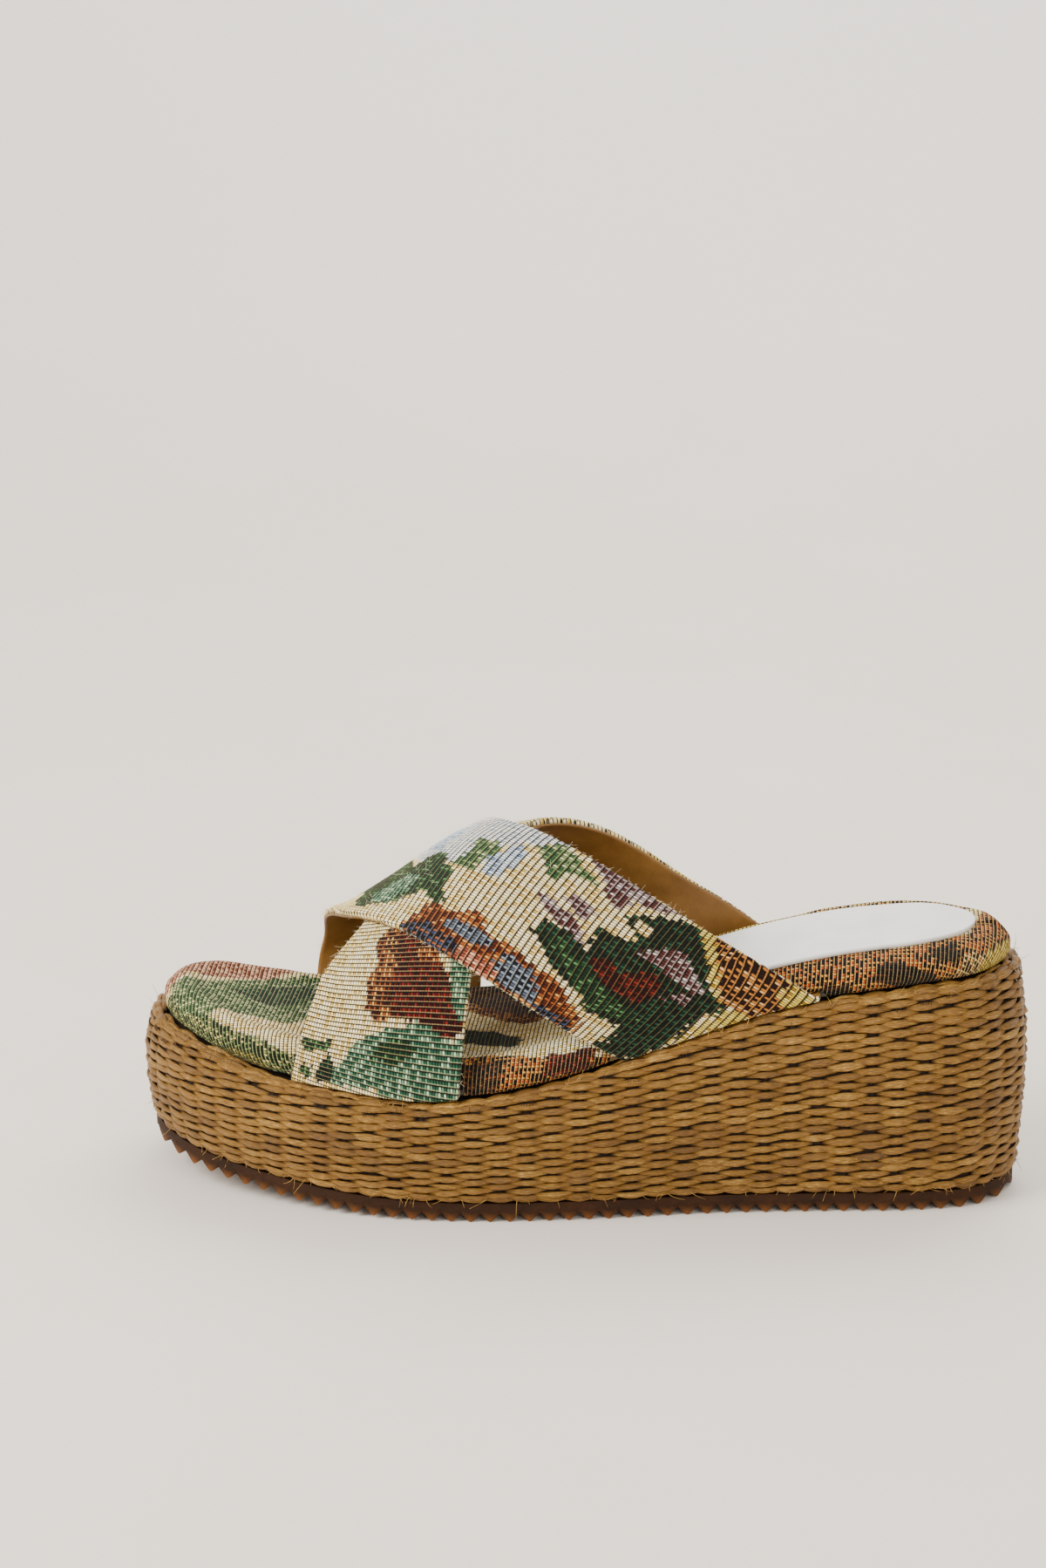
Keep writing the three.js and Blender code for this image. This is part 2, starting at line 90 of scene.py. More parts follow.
under_rear = [-31, -29.5, -28, -27, -24, -16.5, 4.5, 26, 44, 60]

over_edges = (over_front, over_rear)
under_edges = (under_front, under_rear)
strap_stack = strap_outer + gap + strap_interlining + gap + strap_lining
lining_depth = strap_stack - strap_lining
cover_base = gap + strap_outer + gap + strap_lining + gap
board_base = cover_base + cover_thickness + gap


# ---------------------------------------------------------------- curves
def smooth(t):
    t = np.clip(t, 0, 1)
    return t * t * (3 - 2 * t)


def curve_through(points):
    """A smooth curve through (x, y) points, straight beyond its ends."""
    xs, ys = np.array(points, float).T
    gaps = np.diff(xs)
    slopes = np.empty_like(xs)
    slopes[1:-1] = (ys[2:] - ys[:-2]) / (xs[2:] - xs[:-2])
    slopes[0] = (ys[1] - ys[0]) / gaps[0]
    slopes[-1] = (ys[-1] - ys[-2]) / gaps[-1]

    def at(x):
        x = np.asarray(x, float)
        i = np.clip(np.searchsorted(xs, x) - 1, 0, len(xs) - 2)
        t = (x - xs[i]) / gaps[i]
        start = (1 + 2 * t) * (1 - t) ** 2 * ys[i] + t * (1 - t) ** 2 * gaps[i] * slopes[i]
        end = t * t * (3 - 2 * t) * ys[i + 1] + t * t * (t - 1) * gaps[i] * slopes[i + 1]
        inside = start + end
        below = ys[0] + slopes[0] * (x - xs[0])
        above = ys[-1] + slopes[-1] * (x - xs[-1])
        return np.where(x < xs[0], below, np.where(x > xs[-1], above, inside))

    return at


ramp = heel_top - ball_top
wall_top = curve_through([
    (-130, toe_top), (-112, toe_top - 3), (-90, ball_top + 4), (-66, ball_top + 1.8), (-38, ball_top),
    (-10, ball_top + 0.12 * ramp), (25, ball_top + 0.42 * ramp), (60, ball_top + 0.74 * ramp),
    (95, ball_top + 0.91 * ramp), (130, heel_top),
])
crown_height = curve_through(crown_line)


def spring_at(x):
    reach = sole_length / 2 - spring_start
    ahead = np.maximum(-spring_start - np.asarray(x, float), 0)
    return toe_spring * (ahead / reach) ** 2


def sole_top(x):
    return spring_at(x) + ridge_depth + sole_sheet


def closed_curve(pattern, steps):
    """Points along a closed centripetal Catmull-Rom curve."""
    start = np.array(pattern, float)
    before, end, after = np.roll(start, 1, 0), np.roll(start, -1, 0), np.roll(start, -2, 0)
    k0, k1, k2 = [np.linalg.norm(b - a, axis=1)[:, None] ** 0.5
                  for a, b in ((before, start), (start, end), (end, after))]
    leave = ((start - before) / k0 - (end - before) / (k0 + k1) + (end - start) / k1) * k1
    arrive = ((end - start) / k1 - (after - start) / (k1 + k2) + (after - end) / k2) * k1
    t = (np.arange(steps) / steps)[:, None, None]
    square = 3 * (end - start) - 2 * leave - arrive
    cube = 2 * (start - end) + leave + arrive
    places = start + leave * t + square * t ** 2 + cube * t ** 3
    return places.transpose(1, 0, 2).reshape(-1, 2)


outline = closed_curve(outline_pattern, 60)
outline_steps = np.linalg.norm(np.roll(outline, -1, 0) - outline, axis=1)
outline_run = np.concatenate([[0], np.cumsum(outline_steps)[:-1]])
perimeter = outline_steps.sum()
outline_tangent = np.roll(outline, -1, 0) - np.roll(outline, 1, 0)
outline_tangent /= np.linalg.norm(outline_tangent, axis=1)[:, None]
outline_inward = np.stack([-outline_tangent[:, 1], outline_tangent[:, 0]], 1)


def around(run):
    """Place and inward normal at a distance along the outline from the toe: x, y, in_x, in_y."""
    columns = (*outline.T, *outline_inward.T)
    return [np.interp(run, outline_run, column, period=perimeter) for column in columns]


def side_curve(side, inset):
    """y of the outline on the outer (-1) or inner (1) side, as a function of x."""
    places = outline + inset * outline_inward
    heelward = np.roll(places[:, 0], -1) > places[:, 0]
    chosen = places[heelward if side < 0 else ~heelward]
    chosen = chosen[np.argsort(chosen[:, 0])]
    return lambda x: np.interp(x, chosen[:, 0], chosen[:, 1])


def unit(vectors):
    return vectors / np.maximum(np.linalg.norm(vectors, axis=-1, keepdims=True), 1e-9)


# ---------------------------------------------------------------- meshes
def grid_faces(rows, columns, first=0, loop_rows=False, loop_columns=False):
    """Quads between the points of a grid, row after row."""
    row_numbers = np.arange(rows - (not loop_rows))
    column_numbers = np.arange(columns - (not loop_columns))
    i, j = np.meshgrid(row_numbers, column_numbers, indexing="ij")
    i, j = i.ravel(), j.ravel()
    i2, j2 = (i + 1) % rows, (j + 1) % columns
    corners = [i * columns + j, i * columns + j2, i2 * columns + j2, i2 * columns + j]
    return first + np.stack(corners, 1)


def add_mesh(name, points, faces, material, slot, flat=False):
    """An object from points in mm and a list of equal-sided face arrays."""
    mesh = bpy.data.meshes.new(name)
    corners = np.concatenate([part.ravel() for part in faces])
    sizes = np.concatenate([np.full(len(part), part.shape[1]) for part in faces])
    mesh.vertices.add(len(points))
    mesh.vertices.foreach_set("co", (np.asarray(points) * MM).astype(np.float32).ravel())
    mesh.loops.add(len(corners))
    mesh.loops.foreach_set("vertex_index", corners.astype(np.int32))
    mesh.polygons.add(len(sizes))
    starts = np.concatenate([[0], np.cumsum(sizes)[:-1]])
    mesh.polygons.foreach_set("loop_start", starts.astype(np.int32))
    mesh.update(calc_edges=True)
    mesh.validate()
    mesh.polygons.foreach_set("use_smooth", np.full(len(sizes), not flat))
    piece = bpy.data.objects.new(name, mesh)
    bpy.context.scene.collection.objects.link(piece)
    mesh.materials.append(material)
    if slot:
        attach(piece, "root")
    return piece


def tube_faces(count, stations, ring):
    """Faces of many closed tubes whose points follow one another, tube after tube."""
    body = grid_faces(stations, ring, loop_columns=True)
    ends = np.stack([np.arange(ring)[::-1], (stations - 1) * ring + np.arange(ring)])
    first = (np.arange(count) * stations * ring)[:, None, None]
    return [(body[None] + first).reshape(-1, 4), (ends[None] + first).reshape(-1, ring)]


def fibre_bodies(start, way, bend, length, radius, stations=5, ring=3):
    """A thin tapering tube for each fibre, which sets out one way and bends another."""
    t = np.linspace(0, 1, stations)[None, :, None]
    way, bend = way[:, None], bend[:, None]
    line = start[:, None] + (way * t + bend * t ** 2) * length[:, None, None]
    along = unit(way + 2 * bend * t)
    side = unit(np.cross(along, [0.3, 0.5, 0.81]))
    other = np.cross(along, side)
    angle = np.linspace(0, 2 * math.pi, ring, endpoint=False)[:, None]
    out = side[:, :, None] * np.cos(angle) + other[:, :, None] * np.sin(angle)
    points = line[:, :, None] + out * (radius * (1 - 0.6 * t))[..., None]
    points = points.reshape(-1, 3)
    return points, outward(points, tube_faces(len(start), stations, ring))


def outward(points, faces):
    """The same faces, turned so that the body encloses a positive volume."""
    total = 0
    for part in faces:
        a = points[part[:, 0]]
        for k in range(1, part.shape[1] - 1):
            total += np.einsum("ij,ij->", a, np.cross(points[part[:, k]], points[part[:, k + 1]]))
    return faces if total > 0 else [part[:, ::-1] for part in faces]


def add_numbers(piece, name, values):
    piece.data.attributes.new(name, "FLOAT", "POINT").data.foreach_set("value", values.astype(np.float32))


def add_colours(piece, name, colours):
    filled = np.concatenate([colours, np.ones((len(colours), 1))], 1)
    made = piece.data.color_attributes.new(name, "FLOAT_COLOR", "POINT")
    made.data.foreach_set("color", filled.astype(np.float32).ravel())


def add_map(piece, name, places):
    """A UV map that takes its values from the vertices."""
    corners = np.empty(len(piece.data.loops), np.int32)
    piece.data.loops.foreach_get("vertex_index", corners)
    layer = piece.data.uv_layers.new(name=name)
    layer.uv.foreach_set("vector", places[corners].astype(np.float32).ravel())


# ---------------------------------------------------------------- materials
class Shader:
    """A node material with short ways to add its nodes."""

    def __init__(self, name, roughness, **settings):
        self.material = bpy.data.materials.new(name)
        self.material.use_nodes = True
        self.tree = self.material.node_tree
        self.surface = self.tree.nodes["Principled BSDF"]
        self.surface.inputs["Roughness"].default_value = roughness
        for socket, value in settings.items():
            self.surface.inputs[socket.replace("_", " ")].default_value = value

    def put(self, source, target):
        """Links an output, or sets a plain number or vector, on an input."""
        if isinstance(source, bpy.types.NodeSocket):
            self.tree.links.new(source, target)
        else:
            target.default_value = source

    def node(self, kind, **settings):
        made = self.tree.nodes.new("ShaderNode" + kind)
        for setting, value in settings.items():
            setattr(made, setting, value)
        return made

    def math(self, operation, *values):
        made = self.node("Math", operation=operation)
        for value, target in zip(values, made.inputs):
            self.put(value, target)
        return made.outputs[0]

    def object_place(self):
        return self.node("TexCoord").outputs["Object"]

    def stretched(self, vector, scale):
        made = self.node("Mapping")
        made.inputs["Scale"].default_value = scale
        self.put(vector, made.inputs["Vector"])
        return made.outputs["Vector"]

    def noise(self, vector, scale, detail=4, roughness=0.6):
        made = self.node("TexNoise")
        self.put(vector, made.inputs["Vector"])
        for socket, value in (("Scale", scale), ("Detail", detail), ("Roughness", roughness)):
            made.inputs[socket].default_value = value
        return made.outputs["Fac"]

    def cells(self, vector, scale, feature="F1"):
        made = self.node("TexVoronoi", feature=feature)
        self.put(vector, made.inputs["Vector"])
        made.inputs["Scale"].default_value = scale
        return made.outputs["Distance"]

    def ramp(self, share, stops):
        made = self.node("ValToRGB")
        self.put(share, made.inputs["Fac"])
        elements = made.color_ramp.elements
        while len(elements) < len(stops):
            elements.new(0.5)
        for element, (place, colour) in zip(elements, stops):
            element.position = place
            element.color = (*colour, 1)
        return made.outputs["Color"]

    def scale_to(self, value, low, high, out_low, out_high):
        made = self.node("MapRange")
        for source, target in zip((value, low, high, out_low, out_high), made.inputs):
            self.put(source, target)
        return made.outputs[0]

    def mix(self, share, a, b, blend="MIX"):
        made = self.node("Mix", data_type="RGBA", blend_type=blend)
        self.put(share, made.inputs["Factor"])
        self.put(a if isinstance(a, bpy.types.NodeSocket) else (*a, 1), made.inputs["A"])
        self.put(b if isinstance(b, bpy.types.NodeSocket) else (*b, 1), made.inputs["B"])
        return made.outputs["Result"]

    def mesh_value(self, name):
        return self.node("Attribute", attribute_name=name)

    def mesh_map(self, name):
        made = self.node("UVMap", uv_map=name)
        split = self.node("SeparateXYZ")
        self.put(made.outputs["UV"], split.inputs[0])
        return made.outputs["UV"], split.outputs["X"], split.outputs["Y"]

    def colour(self, source):
        self.put(source, self.surface.inputs["Base Color"])

    def rough(self, source):
        self.put(source, self.surface.inputs["Roughness"])

    def bump(self, height, depth, strength=1.0):
        """Bump over heights of 0 to 1, with its depth in millimetres."""
        made = self.node("Bump")
        made.inputs["Strength"].default_value = strength
        made.inputs["Distance"].default_value = depth * MM
        self.put(height, made.inputs["Height"])
        self.put(made.outputs["Normal"], self.surface.inputs["Normal"])


def linear(*levels):
    """A colour given as 0 to 255 screen levels, as linear light."""
    shares = np.array(levels, float) / 255
    return tuple(np.where(shares <= 0.04045, shares / 12.92, ((shares + 0.055) / 1.055) ** 2.4).tolist())


def plain_shader(name, dark, light, scale, roughness, bump_depth, **settings):
    """Two tones mottled by noise, with a fine grain."""
    shader = Shader(name, roughness, **settings)
    place = shader.object_place()
    mottle = shader.noise(place, scale)
    grain = shader.noise(place, scale * 12, 3)
    shader.colour(shader.ramp(mottle, [(0.3, dark), (0.7, light)]))
    shader.rough(shader.scale_to(grain, 0.3, 0.7, roughness - 0.08, roughness + 0.08))
    shader.bump(grain, bump_depth)
    return shader.material


def straw_material():
    """Glossy creased paper straw: each strand has its own tone, with fine streaks along it. Painted shade
    darkens it behind its neighbours.
    """
    shader = Shader("woven_straw", 0.42, Specular_IOR_Level=0.45)
    tone = shader.mesh_value("tone").outputs["Fac"]
    strand, _, _ = shader.mesh_map("strand")
    streak = shader.noise(shader.stretched(strand, (0.35, 9, 1)), 1.0, 5, 0.65)
    blotch = shader.noise(shader.object_place(), 160, 3)
    lines = shader.scale_to(streak, 0.34, 0.66, 0, 1)
    level = shader.math("ADD", shader.math("MULTIPLY", tone, 0.45), shader.math("MULTIPLY", lines, 0.52))
    colours = [(0.16, linear(66, 40, 3)), (0.4, linear(112, 75, 10)), (0.62, linear(148, 105, 28)),
               (0.86, linear(216, 176, 98))]
    base = shader.ramp(level, colours)
    warm = shader.mix(shader.scale_to(blotch, 0.45, 0.75, 0, 0.25), base, linear(132, 80, 10))
    # Painted shade: each float darkens where it dives behind its neighbours and on its back face.
    depth = shader.mesh_value("sunk_shade").outputs["Fac"]
    shader.colour(shader.mix(shader.scale_to(depth, 0.2, 0.9, 0, 0.94), warm, linear(26, 13, 3)))
    shader.rough(shader.scale_to(streak, 0.3, 0.7, 0.3, 0.55))
    shader.bump(streak, 0.45)
    return shader.material


float_lean = 0.35  # how much of a float's length it slants across its rib
# A float's kind is third_from for every other float, and up to kind_span more by chance. Above
# third_from it has the third yarn, and above second_from the second.
third_from = 0.62
second_from = 1.15
kind_span = 0.9
binder_middle = 0.24  # where the thin binding yarn lies across a rib, and half its width
binder_half_width = 0.1
binder_cover = 0.8


def cell_share(shader, rib, float_number):
    """A random share for each float of yarn."""
    cell = shader.node("CombineXYZ")
    shader.put(shader.math("FLOOR", rib), cell.inputs["X"])
    shader.put(shader.math("FLOOR", float_number), cell.inputs["Y"])
    share = shader.node("TexWhiteNoise")
    shader.put(cell.outputs[0], share.inputs["Vector"])
    return share.outputs["Value"]


def float_colour(shader, float_number, share):
    """The main yarn's colour, and the colour of the yarn that this float is made of."""
    main, second, third = [shader.mesh_value(yarn).outputs["Color"] for yarn in yarn_names]
    pair_place = shader.math("FRACT", shader.math("MULTIPLY", float_number, 0.5))
    odd = shader.math("GREATER_THAN", pair_place, 0.5)
    kind = shader.math("ADD", shader.math("MULTIPLY", odd, third_from),
                       shader.math("MULTIPLY", share, kind_span))
    colour = shader.mix(shader.math("GREATER_THAN", kind, third_from), main, third)
    return main, shader.mix(shader.math("GREATER_THAN", kind, second_from), colour, second)


def tapestry_material(name, pale_share):
    """Jacquard cloth. Each cell of the map "weave" is one float of yarn on a rib, in one of the three
    colours of the woven figure. A thin yarn runs along every rib, and pale_share is how pale it is."""
    shader = Shader(name, 0.88, Sheen_Weight=0.04, Sheen_Roughness=0.5, Specular_IOR_Level=0.12)
    _, rib, bead = shader.mesh_map("weave")
    across = shader.math("FRACT", rib)
    lean = shader.math("ADD", bead, shader.math("MULTIPLY", across, float_lean))
    share = cell_share(shader, rib, lean)
    main, colour = float_colour(shader, lean, share)
    from_binder = shader.math("ABSOLUTE", shader.math("SUBTRACT", across, binder_middle))
    binder = shader.math("MULTIPLY", shader.math("LESS_THAN", from_binder, binder_half_width), binder_cover)
    yarn = shader.mix(binder, colour, shader.mix(pale_share, main, linear(222, 202, 140)))
    fibre = shader.noise(shader.object_place(), 2600, 3, 0.7)
    lighter = shader.math("ADD", shader.scale_to(fibre, 0.3, 0.7, 0.82, 1.16),
                          shader.math("MULTIPLY", share, 0.28))
    grey = shader.node("CombineColor")
    for socket in grey.inputs[:3]:
        shader.put(lighter, socket)
    lit = shader.mix(1.0, yarn, grey.outputs[0], "MULTIPLY")
    rib_round = shader.math("SINE", shader.math("MULTIPLY", across, math.pi))
    bead_round = shader.math("SINE", shader.math("MULTIPLY", shader.math("FRACT", lean), math.pi))
    round_top = shader.math("MULTIPLY", shader.math("POWER", rib_round, 0.6),
                            shader.math("POWER", bead_round, 0.5))
    # Painted shade in the gaps between ribs and between floats, but not on the binding yarn.
    shade = shader.math("MULTIPLY", shader.scale_to(round_top, 0.36, 0.8, 0.97, 0),
                        shader.math("SUBTRACT", 1.0, binder))
    shader.colour(shader.mix(shade, lit, linear(22, 13, 7)))
    shader.bump(shader.math("ADD", round_top, shader.math("MULTIPLY", fibre, 0.25)), 0.34)
    return shader.material


def tan_material():
    """Satin tan lining with a fine pebble and soft creases."""
    shader = Shader("tan_lining", 0.5, Specular_IOR_Level=0.4)
    place = shader.object_place()
    pebble = shader.cells(place, 1500, "SMOOTH_F1")
    cloud = shader.noise(place, 70, 3)
    shader.colour(shader.ramp(cloud, [(0.3, linear(110, 74, 28)), (0.7, linear(138, 97, 42))]))
    shader.rough(shader.scale_to(cloud, 0.3, 0.7, 0.42, 0.56))
    shader.bump(pebble, 0.05)
    return shader.material


def rubber_material():
    """Gum rubber, with a painted highlight on the tips of the ridges."""
    shader = Shader("gum_rubber", 0.7, Specular_IOR_Level=0.15)
    place = shader.object_place()
    cloud = shader.noise(place, 90, 4)
    grain = shader.noise(place, 1400, 3)
    base = shader.ramp(cloud, [(0.3, linear(36, 20, 8)), (0.7, linear(54, 30, 11))])
    tip_highlight = shader.mesh_value("tip_highlight").outputs["Fac"]
    # Painted highlight: the ridge tips are lightened.
    shader.colour(shader.mix(shader.math("MULTIPLY", tip_highlight, 0.65), base, linear(136, 84, 38)))
    shader.rough(shader.scale_to(grain, 0.3, 0.7, 0.6, 0.8))
    shader.bump(grain, 0.12)
    return shader.material


def pad_material():
    """White coated leather with a faint pebble."""
    shader = Shader("white_leather", 0.42, Specular_IOR_Level=0.45)
    place = shader.object_place()
    pebble = shader.cells(place, 1100, "SMOOTH_F1")
    cloud = shader.noise(place, 60, 3)
    shader.colour(shader.ramp(cloud, [(0.3, linear(228, 225, 218)), (0.7, linear(240, 238, 233))]))
    shader.rough(shader.scale_to(cloud, 0.3, 0.7, 0.36, 0.5))
    shader.bump(pebble, 0.06)
    return shader.material


def shaded_backing_material():
    """Coarse cloth seen in the slits of the straw, coloured dark as painted shade for the slits."""
    shader = Shader("backing_cloth", 0.9)
    place = shader.object_place()
    threads = shader.node("TexWave", wave_type="BANDS", bands_direction="Z")
    shader.put(place, threads.inputs["Vector"])
    threads.inputs["Scale"].default_value = 420
    grain = shader.noise(place, 900, 3)
    shader.colour(shader.ramp(grain, [(0.3, linear(34, 22, 10)), (0.7, linear(66, 44, 20))]))
    shader.rough(shader.scale_to(grain, 0.3, 0.7, 0.82, 0.96))
    shader.bump(threads.outputs["Fac"], 0.15)
    return shader.material


# ---------------------------------------------------------------- yarn colours of the tapestry
yarn_levels = {
    "cream": [(244, 224, 166), (200, 168, 92), (246, 234, 198)],
    "stripes": [(236, 222, 176), (206, 180, 74), (238, 230, 200)],
    "white": [(226, 226, 224), (168, 180, 190), (236, 232, 220)],
    "yellow": [(214, 188, 84), (156, 124, 44), (222, 204, 120)],
    "dark_green": [(18, 56, 42), (40, 88, 64), (10, 36, 26)],
    "green": [(38, 80, 50), (96, 138, 92), (20, 60, 42)],
    "teal": [(112, 150, 122), (184, 202, 172), (52, 98, 76)],
    "sage": [(122, 146, 98), (196, 198, 152), (66, 100, 62)],
    "blue": [(138, 150, 162), (30, 34, 46), (98, 106, 118)],
    "navy": [(66, 80, 108), (150, 92, 56), (20, 20, 30)],
    "pale_blue": [(186, 198, 212), (120, 138, 160), (214, 222, 226)],
    "orange": [(160, 92, 42), (206, 152, 88), (96, 44, 22)],
    "rust": [(150, 84, 40), (206, 160, 92), (70, 32, 18)],
    "dark_red": [(100, 26, 22), (132, 48, 34), (58, 10, 12)],
    "brown": [(74, 40, 24), (118, 68, 36), (26, 14, 10)],
    "pink": [(206, 142, 112), (226, 184, 156), (150, 84, 62)],
    "mauve": [(168, 148, 148), (204, 192, 186), (98, 56, 54)],
    "tan_check": [(190, 130, 60), (212, 174, 122), (52, 24, 16)],
    "rim_check": [(202, 150, 74), (178, 88, 34), (32, 17, 12)],
    "green_check": [(124, 142, 92), (194, 182, 122), (32, 62, 34)],
    "far_check": [(210, 156, 126), (228, 194, 166), (148, 90, 62)],
    "pale_check": [(222, 196, 134), (204, 150, 84), (76, 50, 32)],
    "olive": [(128, 124, 58), (176, 164, 92), (80, 84, 42)],
    "black": [(38, 24, 18), (86, 44, 26), (14, 10, 9)],
}
yarns = {name: [linear(*levels) for levels in tones] for name, tones in yarn_levels.items()}

yarn_names = ("yarn_a", "yarn_b", "yarn_c")
bead_pitch = 0.82
yarn_contrast = 1.3  # above 1 deepens the dark yarns more than the light ones

# Woven figures as (yarn, outline), later ones on top. On a strap a point is (share of the way round,
# share of the way from the front edge to the rear edge).
over_figures = [
    ("white", [(0.38, 0.5), (0.45, 0.44), (0.5, 0.52), (0.66, 0.5), (0.66, 1), (0.36, 1), (0.38, 0.8)]),
    ("pale_blue", [(0.46, 0.56), (0.52, 0.6), (0.6, 0.58), (0.62, 0.8), (0.5, 0.82)]),
    ("dark_green", [(0, 0), (0.036, 0), (0.043, 0.12), (0.055, 0.2), (0.092, 0.17), (0.107, 0.24),
                    (0.164, 0.29), (0.186, 0.35), (0.214, 0.38), (0.232, 0.49), (0.207, 0.52), (0.17, 0.49),
                    (0.186, 0.56), (0.207, 0.64), (0.175, 0.67), (0.18, 0.73), (0.21, 0.77), (0.216, 0.86),
                    (0.186, 0.99), (0.13, 0.93), (0.1, 0.78), (0.07, 0.69), (0.025, 0.63), (0.025, 0.48),
                    (0.014, 0.35), (0, 0.2)]),
    ("green", [(0.05, 0.24), (0.09, 0.2), (0.15, 0.32), (0.2, 0.4), (0.2, 0.46), (0.13, 0.38), (0.06, 0.32)]),
    ("dark_red", [(0.078, 0.38), (0.107, 0.37), (0.143, 0.41), (0.168, 0.47), (0.157, 0.52), (0.128, 0.48),
                  (0.121, 0.57), (0.107, 0.6), (0.086, 0.52)]),
    ("mauve", [(0.064, 0.6), (0.093, 0.63), (0.136, 0.65), (0.157, 0.63), (0.15, 0.77), (0.136, 0.8),
               (0.1, 0.73), (0.07, 0.67)]),
    ("mauve", [(0.057, 0.52), (0.078, 0.48), (0.078, 0.58), (0.06, 0.59)]),
    ("mauve", [(0.178, 0.5), (0.236, 0.52), (0.278, 0.58), (0.264, 0.61), (0.22, 0.6)]),
    ("mauve", [(0.214, 0.61), (0.264, 0.65), (0.264, 0.72), (0.228, 0.7)]),
    ("cream", [(0.17, 0.76), (0.19, 0.75), (0.205, 0.8), (0.19, 0.83)]),
    ("mauve", [(0.22, 0.79), (0.257, 0.83), (0.286, 0.9), (0.336, 1), (0.2, 1), (0.214, 0.92), (0.243, 0.9)]),
    ("tan_check", [(0, 0.65), (0.036, 0.64), (0.07, 0.73), (0.107, 0.81), (0.15, 0.92), (0.164, 1), (0, 1)]),
    ("yellow", [(0.036, 0.64), (0.052, 0.66), (0.18, 1), (0.155, 1)]),
    ("yellow", [(0, 0.2), (0.01, 0.34), (0.022, 0.62), (0.012, 0.66), (0, 0.64)]),
    ("yellow", [(0, 0.8), (0.03, 0.9), (0.045, 1), (0, 1)]),
    ("orange", [(0.064, 0), (0.3, 0), (0.307, 0.12), (0.314, 0.19), (0.27, 0.21), (0.264, 0.29),
                (0.243, 0.27),
                (0.228, 0.21), (0.2, 0.24), (0.157, 0.23), (0.135, 0.24), (0.107, 0.17), (0.07, 0.11)]),
    ("pink", [(0.15, 0), (0.2, 0), (0.214, 0.09), (0.17, 0.1)]),
    ("navy", [(0.21, 0), (0.3, 0), (0.29, 0.09), (0.21, 0.08)]),
    ("navy", [(0.064, 0), (0.11, 0), (0.12, 0.05), (0.08, 0.06)]),
    ("blue", [(0.115, 0.03), (0.15, 0.02), (0.175, 0.1), (0.19, 0.2), (0.16, 0.2), (0.13, 0.13)]),
    ("blue", [(0.2, 0.13), (0.255, 0.12), (0.27, 0.17), (0.228, 0.21), (0.205, 0.2)]),
    ("green", [(0.3, 0.19), (0.357, 0.25), (0.371, 0.13), (0.436, 0.05), (0.5, 0.11), (0.514, 0.19),
               (0.62, 0.23),
               (0.66, 0.4), (0.62, 0.54), (0.514, 0.5), (0.464, 0.42), (0.457, 0.56), (0.428, 0.54),
               (0.4, 0.46), (0.364, 0.42), (0.336, 0.31), (0.307, 0.23)]),
    ("teal", [(0.39, 0.14), (0.43, 0.11), (0.46, 0.2), (0.44, 0.34), (0.4, 0.34), (0.385, 0.24)]),
    ("dark_green", [(0.46, 0.2), (0.52, 0.24), (0.6, 0.3), (0.6, 0.42), (0.5, 0.36)]),
    ("pale_blue", [(0.314, 0.49), (0.343, 0.5), (0.371, 0.63), (0.378, 0.81), (0.357, 0.77), (0.336, 0.65)]),
    ("sage", [(0.35, 0.46), (0.386, 0.46), (0.4, 0.6), (0.43, 0.71), (0.4, 0.75), (0.371, 0.65)]),
    ("sage", [(0.286, 0.69), (0.314, 0.73), (0.371, 0.85), (0.364, 0.98), (0.343, 0.96), (0.32, 0.9),
              (0.286, 0.88), (0.278, 0.83), (0.307, 0.81)]),
    ("cream", [(0.66, 0), (1, 0), (1, 1), (0.66, 1), (0.7, 0.5)]),
    ("rust", [(0.72, 0.2), (0.78, 0.1), (0.84, 0.2), (0.86, 0.4), (0.8, 0.56), (0.73, 0.46)]),
    ("dark_red", [(0.75, 0.26), (0.79, 0.2), (0.83, 0.3), (0.82, 0.44), (0.77, 0.42)]),
    ("dark_green", [(0.82, 0.5), (0.88, 0.46), (0.94, 0.56), (0.98, 0.8), (0.9, 0.9), (0.84, 0.74)]),
    ("olive", [(0.7, 0.66), (0.77, 0.62), (0.8, 0.8), (0.75, 0.96), (0.69, 0.86)]),
    ("yellow", [(0.9, 0.06), (0.93, 0.04), (0.99, 0.3), (0.96, 0.34)]),
]
